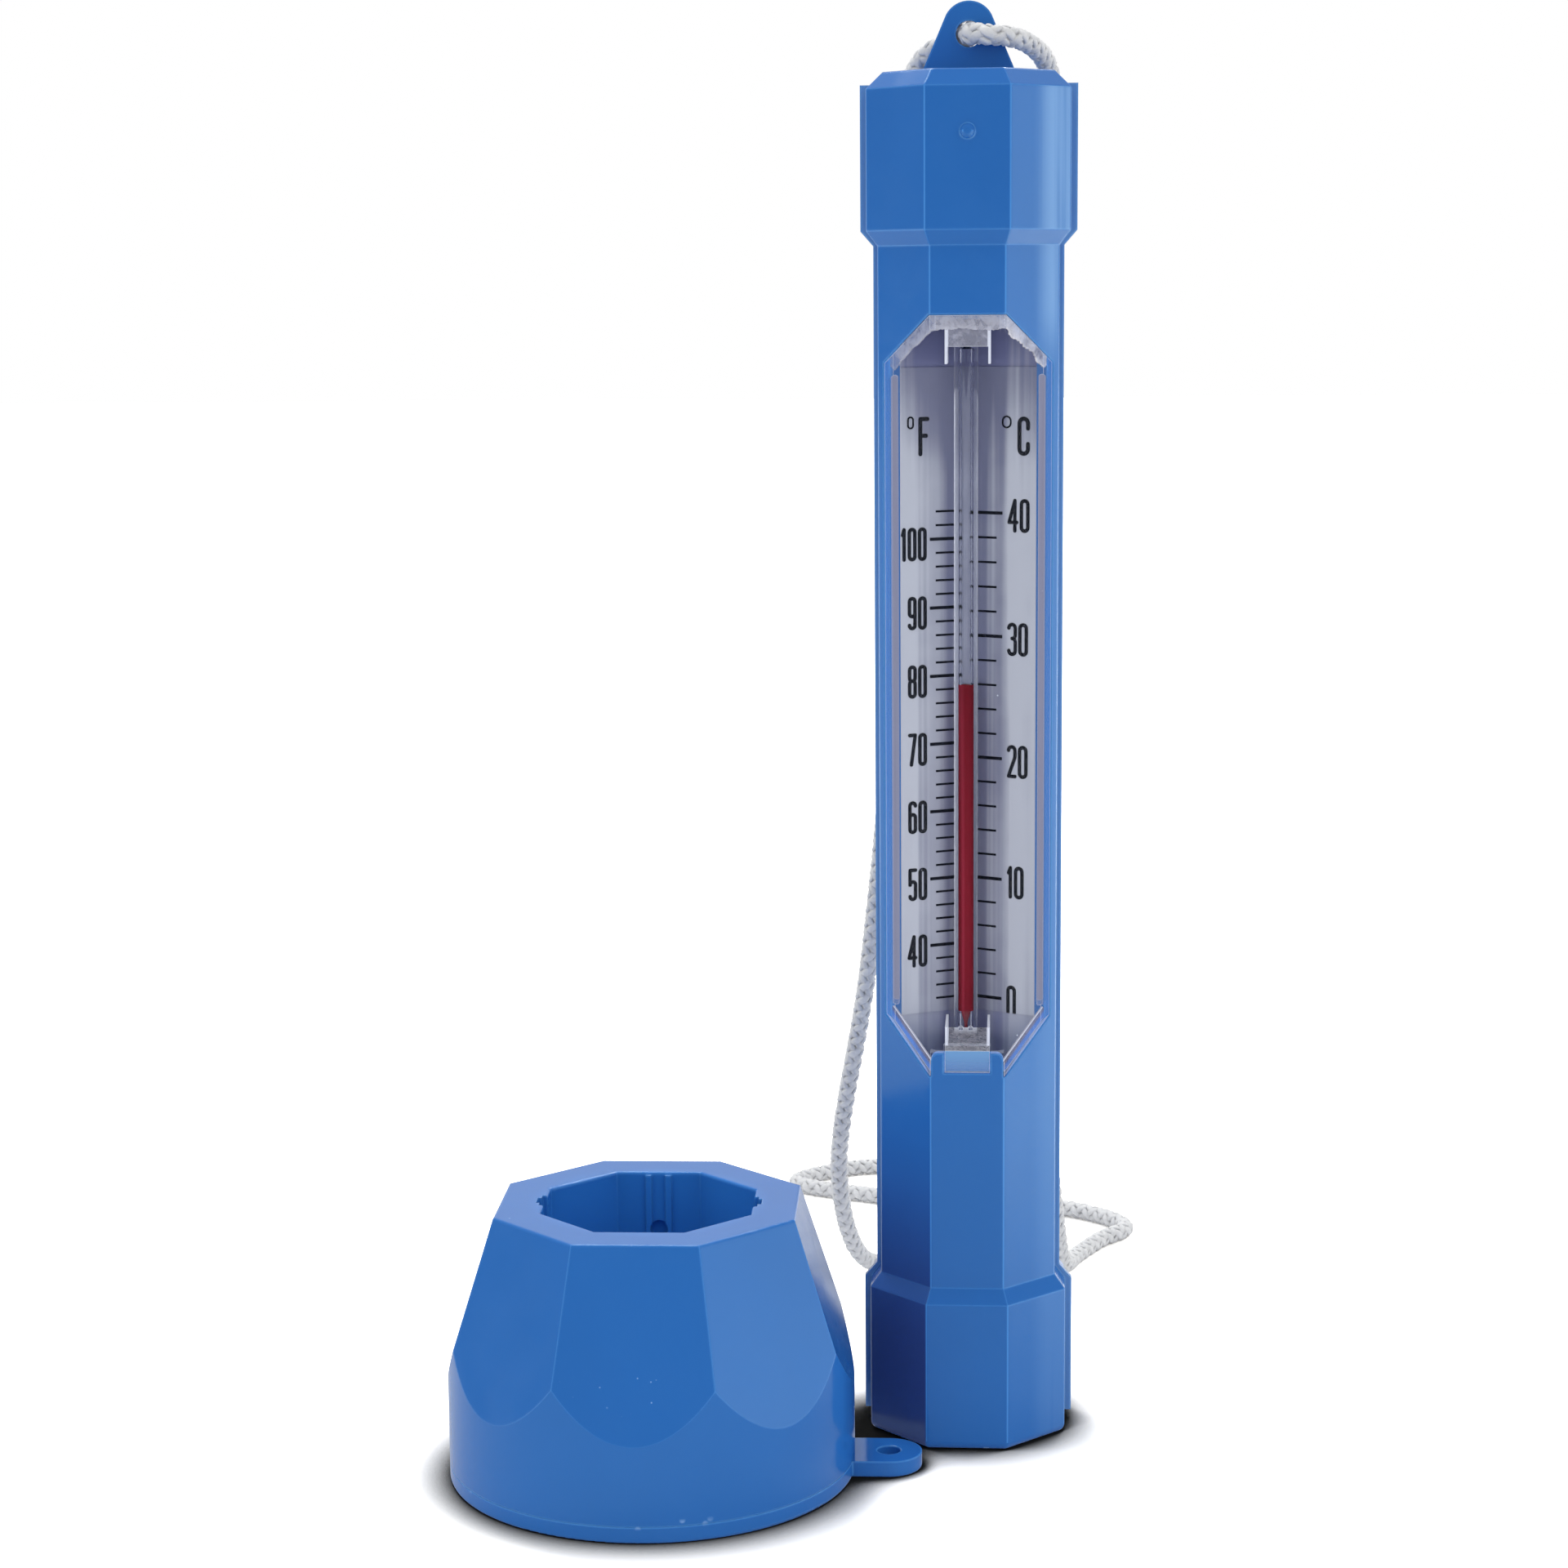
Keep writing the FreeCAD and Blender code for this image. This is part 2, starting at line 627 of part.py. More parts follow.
def trough_side(depth):
    """The right half of the V at a depth behind the printed face: bend radius, bend's end, outer end."""
    front_bend = "trough_bend/sin(trough_lean)"
    bend = f"({front_bend}+{depth})"
    bend_end = (f"{bend}*sin(trough_lean)", f"{bend}*cos(trough_lean)-{front_bend}-trough_bottom")
    fall = f"({front_bend}*(1-cos(trough_lean))+(trough_half-trough_bend)*tan(trough_lean))"
    outer_y = f"({depth})/cos(trough_lean)-trough_bottom-{fall}"
    return bend, bend_end, ("trough_half", outer_y)


def trough_outline(front, back):
    """A V that opens to the front, with a round bottom, between two depths behind the printed face."""
    bend, turn, edge = trough_side(front)
    outline = [(f"-({edge[0]})", edge[1]), (f"-({turn[0]})", turn[1], f"-{bend}"), turn, edge]
    bend, turn, edge = trough_side(back)
    rear = [edge, (turn[0], turn[1], bend), (f"-({turn[0]})", turn[1]), (f"-({edge[0]})", edge[1])]
    return outline + rear


def trough(name, front, back):
    """The carrier or the sheet, between two depths behind the printed face."""
    body = new_body(f"scale_{name}")
    section = level(body, f"{name}Section", f"{name}_low", trough_outline(front, back))
    pad(body, section, f"{name}_high-{name}_low")
    return body


def flank_point(x):
    """The printed face's depth at a place on its straight flanks, extended to the middle."""
    rise = size("trough_bend/sin(trough_lean)*(1-cos(trough_lean))-trough_bend*tan(trough_lean)")
    return -size("trough_bottom") - rise - abs(x) * size("tan(trough_lean)")


def tick(name, x, z, length, height):
    """One printed line on a flank: it starts at x and runs outwards."""
    side = math.copysign(1, x)
    block = DOC.addObject("Part::Box", name)
    block.setExpression("Length", formula(f"({length})/cos(trough_lean)"))
    block.setExpression("Width", formula("ink"))
    block.setExpression("Height", formula(height))
    start = x if side > 0 else x - size(length)
    lean = -side * size("trough_lean")
    turn = FreeCAD.Rotation(UP, lean)
    lift = turn.multVec(FreeCAD.Vector(0, -size("ink"), 0))
    block.Placement = FreeCAD.Placement(FreeCAD.Vector(start, flank_point(start), 0) + lift, turn)
    block.setExpression("Placement.Base.z", formula(f"{z}-({height})/2"))
    return block


def scale_ticks():
    """Lines every two degrees, Fahrenheit on the left and Celsius on the right, tens longer."""
    ticks = []
    for scale, side, first, last in (("F", -1, 32, 104), ("C", 1, 0, 40)):
        for degrees in range(first, last + 1, 2):
            tens = degrees % 10 == 0
            length = "tick_length+tick_longer" if tens else "tick_length"
            height = "tick_major" if tens else "tick_minor"
            x = size("print_shift") + side * size("tick_in")
            ticks.append(tick(f"Tick{scale}{degrees}", x, degree_height(scale, degrees), length, height))
    node = DOC.addObject("Part::Compound", "scale_ticks")
    node.Links = ticks
    return node


def degree_height(scale, degrees):
    if scale == "F":
        return f"celsius_zero+({degrees}-32)*fahrenheit_step"
    return f"celsius_zero+{degrees}*celsius_step"


def stadium(left, low, right, high):
    """A closed ring with half-round ends."""
    middle = (left + right) / 2
    bend = middle - left
    return [
        (left, low + bend), (middle, low, "via"), (right, low + bend),
        (right, high - bend), (middle, high, "via"), (left, high - bend), (left, low + bend),
    ]


def glyph(character, width, height):
    """The pen strokes of one character in a cell, as points; a "via" point bends the stroke."""
    bend = width / 2
    waist = height * 0.53
    bowl = height * 0.6
    top = [(0, height - bend), (bend, height, "via"), (width, height - bend)]
    foot = [(width, bend), (bend, 0, "via"), (0, bend)]
    quarter = bend * math.sqrt(0.5)
    return {
        "0": [stadium(0, 0, width, height)],
        "1": [[(0.1 * width, 0.82 * height), (0.75 * width, height), (0.75 * width, 0)]],
        "2": [top + [(width, 0.66 * height), (0, 0), (width, 0)]],
        "3": [
            top + [(width, waist + bend), (bend + quarter, waist + bend - quarter, "via"), (bend, waist)],
            [(bend, waist), (bend + quarter, waist - bend + quarter, "via"), (width, waist - bend)] + foot,
        ],
        "4": [
            [(0.75 * width, 0), (0.75 * width, height), (0, 0.28 * height)],
            [(0.75 * width, height), (0, 0.28 * height), (width, 0.28 * height)],
        ],
        "5": [
            [(width, height), (0, height), (0, bowl - bend), (bend, bowl, "via"), (width, bowl - bend)] + foot
        ],
        "6": [list(reversed(top)) + [(0, bowl / 2)], stadium(0, 0, width, bowl)],
        "7": [[(0, height), (width, height), (0.3 * width, 0)]],
        "8": [stadium(0, 0, width, waist), stadium(0, waist, width, height)],
        "9": [
            list(reversed(foot)) + [(width, height - bowl / 2)],
            stadium(0, height - bowl, width, height),
        ],
        "C": [
            [(width, 0.86 * height - bend)] + list(reversed(top)) + list(reversed(foot))
            + [(width, 0.14 * height + bend)]
        ],
        "F": [
            [(width, height), (0, height), (0, 0)],
            [(0.8 * width, 0.52 * height), (0, 0.52 * height), (0, 0)],
        ],
        "o": [stadium(0, 0, width, height)],
    }[character]


def stroke_solid(points, stroke):
    """A pen stroke of a line width and the ink's thickness, in the XZ plane."""
    half, ink = stroke / 2, size("ink")
    spots = [FreeCAD.Vector(point[0] + half, 0, point[1] + half) for point in points]
    edges = []
    index = 0
    while index < len(spots) - 1:
        if len(points[index + 1]) == 3:
            edges.append(Part.Arc(*spots[index : index + 3]).toShape())
            index += 2
        else:
            if not spots[index].isEqual(spots[index + 1], 1e-6):
                edges.append(Part.makeLine(spots[index], spots[index + 1]))
            index += 1
    wire = Part.Wire(edges)
    if wire.isClosed():
        outside = Part.Face(wire.makeOffset2D(half))
        face = outside.cut(Part.Face(wire.makeOffset2D(-half)))
    else:
        face = Part.Face(wire.makeOffset2D(half, 0, False, False))
    return face.extrude(FreeCAD.Vector(0, -ink, 0))


def cell_width(character, width):
    """The numerals' own widths: a 1 is slim and a 4 is wide."""
    return width * {"1": 0.62, "4": 1.12}.get(character, 1)


def written(characters, side, near, low, width, height, stroke, anchor="left"):
    """Characters standing on a flank. near is the text's start or end in plan, low its foot."""
    widths = [cell_width(character, width) for character in characters]
    start = near / size("cos(trough_lean)")
    if anchor == "right":
        start -= sum(widths) + size("digit_gap") * (len(characters) - 1)
    solids = []
    for character, cell in zip(characters, widths):
        for points in glyph(character, cell - stroke, height - stroke):
            solid = stroke_solid(points, stroke)
            solid.translate(FreeCAD.Vector(start, 0, 0))
            solids.append(solid)
        start += cell + size("digit_gap")
    text = solids[0].multiFuse(solids[1:]) if len(solids) > 1 else solids[0]
    text.rotate(FreeCAD.Vector(0, 0, 0), UP, -side * size("trough_lean"))
    text.translate(FreeCAD.Vector(0, flank_point(0), low))
    return text


def scale_numerals():
    """Tens of degrees beside their ticks, and the unit letters with their degree rings."""
    texts = []
    height, stroke = size("digit_height"), size("digit_stroke")
    for scale, hand, side, anchor, values in (
        ("F", "left", -1, "right", range(40, 101, 10)),
        ("C", "right", 1, "left", range(0, 41, 10)),
    ):
        edge = side * size(f"{hand}_digit_edge")
        width = size(f"{hand}_digit_width")
        for value in values:
            low = size(f"{degree_height(scale, value)}-{hand}_digit_drop-digit_height/2")
            texts.append(written(str(value), side, edge, low, width, height, stroke, anchor))
        for character, kind in ((scale, "letter"), ("o", "ring")):
            start, width_of_kind = size(f"{hand}_{kind}_start"), size(f"{hand}_{kind}_width")
            foot, rise, line = (size(f"{kind}_{name}") for name in ("low", "height", "stroke"))
            texts.append(written(character, side, start, foot, width_of_kind, rise, line))
    below = Part.makeBox(60, 60, size("sheet_low"), FreeCAD.Vector(-30, -30, 0))
    node = DOC.addObject("Part::Feature", "scale_numerals")
    node.Shape = Part.makeCompound([text.cut(below) for text in texts])
    return node


# ---------------------------------------------------------------- glass tube and its clips


def turned(label, outline):
    """A round piece on the glass tube's axis, from half its outline."""
    body = new_body(label)
    revolve(body, upright(body, f"{label}Outline", "0", outline))
    body.setExpression("Placement.Base.x", formula("print_shift"))
    body.setExpression("Placement.Base.y", formula("-glass_depth"))
    return body


def glass_tube():
    """A sealed capillary that opens into a bulb at its foot."""
    inner = "bulb_radius-bulb_wall"
    return turned("glass_tube", [
        ("0", "bulb_low"), ("bulb_radius*0.7", "bulb_low", "bulb_radius*0.3"),
        ("bulb_radius", "bulb_low+bulb_radius*0.3"), ("bulb_radius", "bulb_high"),
        ("glass_radius", "bulb_high+neck"),
        ("glass_radius", "glass_top-glass_radius*0.6", "glass_radius*0.6"),
        ("glass_radius*0.4", "glass_top"), ("0", "glass_top"), ("0", "glass_top-glass_radius"),
        ("bore_radius", "glass_top-glass_radius-bore_radius"), ("bore_radius", "bulb_high+neck"),
        (inner, "bulb_high"), (inner, "bulb_low+bulb_wall"), ("0", "bulb_low+bulb_wall"),
    ])


def spirit_reservoir():
    inner = "bulb_radius-bulb_wall-spirit_gap"
    thread = "bore_radius-spirit_gap"
    return turned("spirit_reservoir", [
        ("0", "bulb_low+bulb_wall+spirit_gap"), (inner, "bulb_low+bulb_wall+spirit_gap"),
        (inner, "bulb_high-spirit_gap"), (thread, "bulb_high+neck-spirit_gap"),
        (thread, "spirit_split-spirit_gap"), ("0", "spirit_split-spirit_gap"),
    ])


def spirit_column():
    thread = "bore_radius-spirit_gap"
    return turned("spirit_column", [
        ("0", "spirit_split"), (thread, "spirit_split"), (thread, "spirit_top"), ("0", "spirit_top"),
    ])


def clip_prongs(name, low, high):
    """The two thin plates on either side of the glass tube."""
    depth = "clip_front-clip_back"
    return [
        box(f"{name}Right", "clip_half-clip_wall", "-clip_front", low, "clip_wall", depth, f"{high}-({low})"),
        box(f"{name}Left", "-clip_half", "-clip_front", low, "clip_wall", depth, f"{high}-({low})"),
    ]


def lower_tube_clip():
    """A sloping saddle in front of the glass, a tongue that hooks down over the lip, two prongs and
    two round stops."""
    front = "barrel_flats/2-lens_recess"
    saddle_low = "lip_top+clip_gap"
    back = "glass_depth+glass_radius+clip_gap"
    tongue = box("ClipTongue", "-clip_half", f"-({front})", "clip_tongue_low", "2*clip_half", "clip_tongue",
                 "clip_saddle_front-clip_tongue_low")
    saddle = DOC.addObject("Part::Wedge", "ClipSaddle")
    for side, text in (
        ("Xmin", "-clip_half"), ("Xmax", "clip_half"), ("X2min", "-clip_half"), ("X2max", "clip_half"),
        ("Ymin", f"-({front})"), ("Ymax", f"-({back})"),
        ("Zmin", saddle_low), ("Zmax", "clip_saddle_front"),
        ("Z2min", saddle_low), ("Z2max", "clip_saddle_top"),
    ):
        saddle.setExpression(side, formula(text))
    stops = []
    for name, x in (("StopLeft", "print_shift-stop_apart"), ("StopRight", "print_shift+stop_apart")):
        stop = DOC.addObject("Part::Sphere", name)
        stop.setExpression("Radius", formula("stop_radius"))
        for axis, text in (("x", x), ("y", f"-({back}+stop_inset)"), ("z", "clip_saddle_top")):
            stop.setExpression(f"Placement.Base.{axis}", formula(text))
        stops.append(stop)
    prongs = clip_prongs("LowProng", saddle_low, "clip_prong_top")
    return joined("lower_tube_clip", [tongue, saddle] + stops + prongs)


def upper_tube_clip():
    """A block in front of the glass tube's sealed end, with two prongs."""
    back = "glass_depth+glass_radius+clip_gap"
    block = box("CapBlock", "-clip_half", "-clip_front", "cap_low", "2*clip_half", f"clip_front-({back})",
                "cap_high-cap_low")
    return joined("upper_tube_clip", [block] + clip_prongs("HighProng", "cap_prong_low", "cap_high"))


def ballast_weight():
    """A steel slug standing on the foot's floor."""
    return cylinder("ballast_weight", "ballast_radius", "floor_thick", "ballast_high-floor_thick")


# ---------------------------------------------------------------- cord


def swept_cord(label, places):
    """A round cord through a list of places, swept in one stretch per place."""
    curve = Part.BSplineCurve()
    curve.interpolate([FreeCAD.Vector(*place) for place in places])
    knots = curve.getKnots()
    stretches = [curve.toShape(first, last) for first, last in zip(knots, knots[1:])]
    path = DOC.addObject("Part::Feature", f"{label}Path")
    path.Shape = Part.Wire(stretches)
    ring = DOC.addObject("Part::Circle", f"{label}Section")
    ring.setExpression("Radius", formula("cord_radius"))
    heading = FreeCAD.Vector(*curve.tangent(curve.FirstParameter)[0])
    ring.Placement = FreeCAD.Placement(FreeCAD.Vector(*places[0]), FreeCAD.Rotation(UP, heading))
    sweep = DOC.addObject("Part::Sweep", label)
    sweep.Sections = [ring]
    sweep.Spine = (path, [f"Edge{index}" for index in range(1, len(stretches) + 1)])
    sweep.Solid = True
    sweep.Frenet = False
    return sweep


def cord_bight():
    """The part of the loop that runs through the tab: one strand leaves the front to the right, over
    the head's rear corner, and the other leaves the back to the left."""
    hole = size("tab_hole_height")
    side = size("hub_flats/2")
    return swept_cord("cord_bight", [
        (11.4, side + 1.1, 185.6),
        (11.4, 11.6, 189.4),
        (10.3, 7.2, 192.6),
        (8.1, 1.6, 194.4),
        (5.6, -2.2, hole - 0.5),
        (2.8, -3.6, hole - 0.3),
        (0.7, -2.6, hole - 0.1),
        (0, 0, hole),
        (-0.7, 2.6, hole - 0.1),
        (-2.7, 4.9, hole - 0.6),
        (-5.6, 7.6, hole - 1.9),
        (-7.6, 10.8, hole - 4.1),
        (-8.8, side + 1.3, 188.8),
        (-9.1, side + 2, 185.6),
    ])


def cord_tail():
    """The rest of the loop: both strands run down behind the tube and lie on the floor in two bends."""
    side = size("hub_flats/2")
    lying = size("cord_radius")
    over = 3.4 * lying
    return swept_cord("cord_tail", [
        (11.3, side + 1.9, 183),
        (10.6, 16.8, 165),
        (9.8, 19, 120),
        (9.8, 26, 78),
        (11, 38, 42),
        (13.4, 54, 14),
        (15, 64.5, 3),
        (17.4, 74, lying),
        (21.4, 82.4, lying),
        (25.9, 89.8, lying),
        (16.6, 100.2, lying),
        (-2, 103, lying),
        (-19.6, 107.8, lying),
        (-32.5, 115, lying),
        (-21.9, 125.3, lying),
        (-6, 125.3, lying),
        (2, 119, lying + 0.5),
        (3, 103, over),
        (-2, 88, lying + 0.5),
        (-8.5, 76, lying + 0.1),
        (-15.5, 65.5, lying + 0.7),
        (-19, 57, 7.5),
        (-21, 46, 24),
        (-15.5, 30, 60),
        (-11, 21, 105),
        (-9.6, 17.8, 150),
        (-9.2, side + 2.4, 183),
    ])


# ---------------------------------------------------------------- float collar


def place_collar(piece):
    piece.setExpression("Placement.Base.x", formula("float_x"))
    piece.setExpression("Placement.Base.y", formula("float_y"))
    piece.Placement = FreeCAD.Placement(piece.Placement.Base, FreeCAD.Rotation(UP, size("float_turn")))
    return piece


def bell(label, inset, low, high):
    """A round drum cut to eight sloping facets, drawn in by an inset on all sides."""
    body = new_body(label)
    flats = {
        height: f"float_flats+2*(float_height-({height}))*tan(float_lean)-2*({inset})/cos(float_lean)"
        for height in (low, high)
    }
    loft(
        body,
        level(body, f"{label}Low", low, octagon(flats[low])),
        level(body, f"{label}High", high, octagon(flats[high])),
    )
    trim = new_sketch(body, f"{label}Trim", "XY_Plane", low)
    add_circle(trim, "0", "0", f"float_radius-({inset})")
    add_circle(trim, "0", "0", "float_radius*2")
    pocket(body, trim, f"{high}-({low})", True)
    return body


def notches(body, name, low, high):
    """The stepped grooves on both sides of the bore that pass the tube's seam flange."""
    for step, reach, half in (
        ("Wide", "notch_shallow", "notch_wide"),
        ("Deep", "notch_deep", "notch_narrow"),
    ):
        block = [(f"-{reach}", f"-{half}"), (reach, f"-{half}"), (reach, half), (f"-{reach}", half)]
        pocket(body, level(body, f"{name}{step}", low, block), f"{high}-({low})", True)


def float_shell():
    """The bell with its bore. A hollow between the bore's sleeve and the outer wall holds the air."""
    body = bell("FloatOuter", "0", "base_thick", "float_height")
    span = "float_height-base_thick"
    rim = size("float_height")
    fillet(body, "FacetEdges", "float_edge", is_facet_edge)
    pocket(body, level(body, "FloatBore", "base_thick", octagon("float_bore")), span, True)
    reach = size("float_bore/2") + 0.01
    fillet(body, "BoreRim", "rim_round", lambda edge: is_end_edge(edge, rim) and within(edge, reach))
    notches(body, "FloatNotch", "base_thick", "float_height")
    far = "float_bore/2"
    ribs = [
        rectangle(near, out, f"{far}-rib_proud", f"{far}+overlap")
        for near, out in (("rib_gap", "rib_gap+rib_wide"), ("-rib_gap-rib_wide", "-rib_gap"))
    ]
    pad(body, level(body, "Ribs", "base_thick", *ribs), f"{span}-rim_round")
    detent = new_sketch(body, "Detent", "XZ_Plane", f"-({far}+detent_depth)")
    add_circle(detent, "0", "float_height-detent_drop", "detent_radius")
    pocket(body, detent, "detent_depth+rib_proud", True)
    low = "base_thick-overlap"
    hollow = bell("FloatHollow", "float_wall", low, "float_height-float_wall")
    sleeve = octagon("float_bore+2*float_wall")
    pocket(hollow, level(hollow, "Sleeve", low, sleeve), f"{span}-float_wall+overlap", True)
    node = DOC.addObject("Part::Cut", "float_shell")
    node.Base = body
    node.Tool = hollow
    return place_collar(node)


def is_facet_edge(edge):
    """A straight sloping edge between two facets, or an outer edge of the top."""
    if len(edge.Vertexes) != 2 or edge.Curve.TypeId != "Part::GeomLine":
        return False
    slope = edge.BoundBox.ZLength > 1
    return slope or is_end_edge(edge, size("float_height"))


def within(edge, reach):
    return max(abs(edge.BoundBox.XMin), abs(edge.BoundBox.XMax)) <= reach


def float_base():
    """The plate that closes the bell, with a locating ring above and an eyelet at one side."""
    body = new_body("float_base")
    plate = new_sketch(body, "Plate", "XY_Plane")
    add_circle(plate, "0", "0", "float_radius")
    pad(body, plate, "base_thick")
    strap = rectangle("float_radius*0.8", "eyelet_x", "eyelet_y-eyelet_radius", "eyelet_y+eyelet_radius")
    pad(body, level(body, "EyeletStrap", "0", strap), "base_thick")
    end = new_sketch(body, "EyeletEnd", "XY_Plane")
    add_circle(end, "eyelet_x", "eyelet_y", "eyelet_radius")
    pad(body, end, "base_thick")
    fillet(body, "BaseRound", "base_round", lambda edge: is_end_edge(edge, 0))
    ring = new_sketch(body, "Ring", "XY_Plane", "base_thick-overlap")
    add_circle(ring, "0", "0", "float_radius-float_wall-ring_gap")
    add_circle(ring, "0", "0", "float_radius-float_wall-ring_gap-ring_thick")
    pad(body, ring, "ring_high+overlap")
    pocket(body, level(body, "BaseBore", "0", octagon("float_bore")), "base_thick", True)
    notches(body, "BaseNotch", "0", "base_thick")
    hole = new_sketch(body, "EyeletHole", "XY_Plane")
    add_circle(hole, "eyelet_x", "eyelet_y", "eyelet_hole")
    pocket(body, hole, "base_thick", True)
    return place_collar(body)


# ---------------------------------------------------------------- the whole object


def check(pieces):
    DOC.recompute()
    for item in DOC.Objects:
        if {"Invalid", "Error"} & set(item.State):
            raise RuntimeError(f"{item.Name} failed: {item.State}")
    for piece in pieces:
        if piece.Shape.isNull() or not piece.Shape.isValid():
            raise RuntimeError(f"{piece.Label} has no valid shape")


PIECES = [
    front_housing(),
    rear_housing(),
    window_lens(),
    window_adhesive(),
    trough("carrier", "sheet_thick+film_gap", "sheet_thick+trough_thick"),
    trough("sheet", "0", "sheet_thick"),
    scale_ticks(),
    scale_numerals(),
    glass_tube(),
    spirit_reservoir(),
    spirit_column(),
    lower_tube_clip(),
    upper_tube_clip(),
    ballast_weight(),
    cord_bight(),
    cord_tail(),
    float_shell(),
    float_base(),
]
check(PIECES)
os.makedirs("parts", exist_ok=True)
for piece in PIECES:
    piece.Shape.exportStep(f"parts/{piece.Label}.step")
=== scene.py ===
"""Looks of the floating pool thermometer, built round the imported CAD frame.

Z is up and the window faces -Y. Named sizes and places on the object hold millimetres. The floor, the lights
and everything that Blender is given are in metres.
"""

import math
import random

import bpy
import numpy as np
from mathutils import Matrix, Vector


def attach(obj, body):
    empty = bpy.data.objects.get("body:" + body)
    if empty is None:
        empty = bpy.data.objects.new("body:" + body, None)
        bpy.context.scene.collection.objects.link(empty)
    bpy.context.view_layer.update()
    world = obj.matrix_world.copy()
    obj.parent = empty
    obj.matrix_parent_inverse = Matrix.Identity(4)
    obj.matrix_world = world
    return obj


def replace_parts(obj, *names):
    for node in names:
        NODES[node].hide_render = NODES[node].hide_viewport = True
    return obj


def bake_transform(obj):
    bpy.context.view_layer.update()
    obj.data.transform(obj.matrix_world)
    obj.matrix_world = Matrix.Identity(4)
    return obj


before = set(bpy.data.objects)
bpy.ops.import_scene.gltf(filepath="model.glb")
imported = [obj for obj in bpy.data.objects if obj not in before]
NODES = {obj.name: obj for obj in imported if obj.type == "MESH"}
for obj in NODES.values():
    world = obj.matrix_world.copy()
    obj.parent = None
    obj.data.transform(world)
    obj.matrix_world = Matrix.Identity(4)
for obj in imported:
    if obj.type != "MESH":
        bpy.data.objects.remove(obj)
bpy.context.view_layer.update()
MM = 0.001
random.seed(7)


def metres(place):
    """A place in millimetres as Blender wants it."""
    return tuple(part * MM for part in place)


# ---------------------------------------------------------------- node graphs


class Graph:
    """A material's or a world's node tree, built by linking values straight into inputs."""

    def __init__(self, owner):
        self.owner = owner
        owner.use_nodes = True
        self.tree = owner.node_tree
        self.tree.nodes.clear()

    def put(self, socket, value):
        if isinstance(value, bpy.types.NodeSocket):
            self.tree.links.new(value, socket)
        elif socket.type == "RGBA" and len(value) == 3:
            socket.default_value = (*value, 1)
        else:
            socket.default_value = value

    def add(self, kind, inputs=(), **settings):
        node = self.tree.nodes.new(f"ShaderNode{kind}")
        for name, value in settings.items():
            setattr(node, name, value)
        for key, value in dict(inputs).items():
            self.put(node.inputs[key], value)
        return node

    def math(self, operation, *values):
        return self.add("Math", enumerate(values), operation=operation).outputs[0]

    def times(self, first, *rest):
        for value in rest:
            first = self.math("MULTIPLY", first, value)
        return first

    def plus(self, first, *rest):
        for value in rest:
            first = self.math("ADD", first, value)
        return first

    def size(self, value):
        return self.math("ABSOLUTE", value)

    def ramp(self, value, low, high, start=0.0, end=1.0):
        """Value's span low to high mapped smoothly to start to end."""
        inputs = {"Value": value, "From Min": low, "From Max": high, "To Min": start, "To Max": end}
        return self.add("MapRange", inputs, interpolation_type="SMOOTHSTEP").outputs["Result"]

    def over(self, length, span, start=0.0, end=1.0):
        """A ramp over a span of millimetres."""
        return self.ramp(length, span[0] * MM, span[1] * MM, start, end)

    def near(self, value, middle, reach):
        """1 at the middle, 0 beyond its reach."""
        return self.ramp(self.size(self.math("SUBTRACT", value, middle)), reach, 0.0)

    def mix(self, factor, a, b):
        node = self.add("Mix", {"Factor": factor}, data_type="RGBA")
        self.put(node.inputs[6], a)
        self.put(node.inputs[7], b)
        return node.outputs[2]

    def noise(self, scale, detail=2.0, roughness=0.5, place=None, distortion=0.0):
        inputs = {"Scale": scale, "Detail": detail, "Roughness": roughness, "Distortion": distortion}
        inputs["Vector"] = place or self.place()
        return self.add("TexNoise", inputs).outputs["Fac"]

    def streaks(self, x, y, z, detail=3.0, roughness=0.6):
        """Noise whose scale differs along each axis."""
        place = self.add("Mapping", {"Vector": self.place(), "Scale": (x, y, z)}).outputs[0]
        return self.noise(1.0, detail, roughness, place)

    def place(self):
        return self.add("TexCoord").outputs["Object"]

    def axes(self, vector):
        return self.add("SeparateXYZ", {0: vector}).outputs[:3]

    def normal(self):
        return self.add("NewGeometry").outputs["Normal"]

    def kept(self, name):
        return self.add("Attribute", attribute_name=name).outputs["Fac"]

    def bump(self, height, distance, normal=None):
        inputs = {"Height": height, "Distance": distance}
        if normal:
            inputs["Normal"] = normal
        return self.add("Bump", inputs).outputs["Normal"]

    def blend(self, factor, a, b):
        return self.add("MixShader", {0: factor, 1: a, 2: b}).outputs[0]

    def plastic(self, colour, rough, normal, **more):
        inputs = {"Base Color": colour, "Roughness": rough, "Normal": normal}
        inputs.update({name.replace("_", " "): value for name, value in more.items()})
        return self.add("BsdfPrincipled", inputs).outputs[0]

    def surface(self, shader):
        self.add("OutputMaterial", {"Surface": shader})
        return self.owner


def graph(name):
    """A new material's empty graph."""
    return Graph(bpy.data.materials.new(name))


FLAT, SHARP = 0.998, 0.93


def edge_mask(g, radius):
    """A mask that is 1 on sharp edges and 0 on flats, and the softened normal."""
    soft = g.add("Bevel", {"Radius": radius * MM}, samples=6).outputs["Normal"]
    facing = g.add("VectorMath", {0: soft, 1: g.normal()}, operation="DOT_PRODUCT").outputs["Value"]
    return g.ramp(facing, FLAT, SHARP), soft


# ---------------------------------------------------------------- sizes that materials and pieces share

GLASS_X, GLASS_Y = -0.3, -3.0
WINDOW_LOW, WINDOW_MIDDLE, WINDOW_HIGH = 53.75, 106, 158.1


# ---------------------------------------------------------------- opaque materials

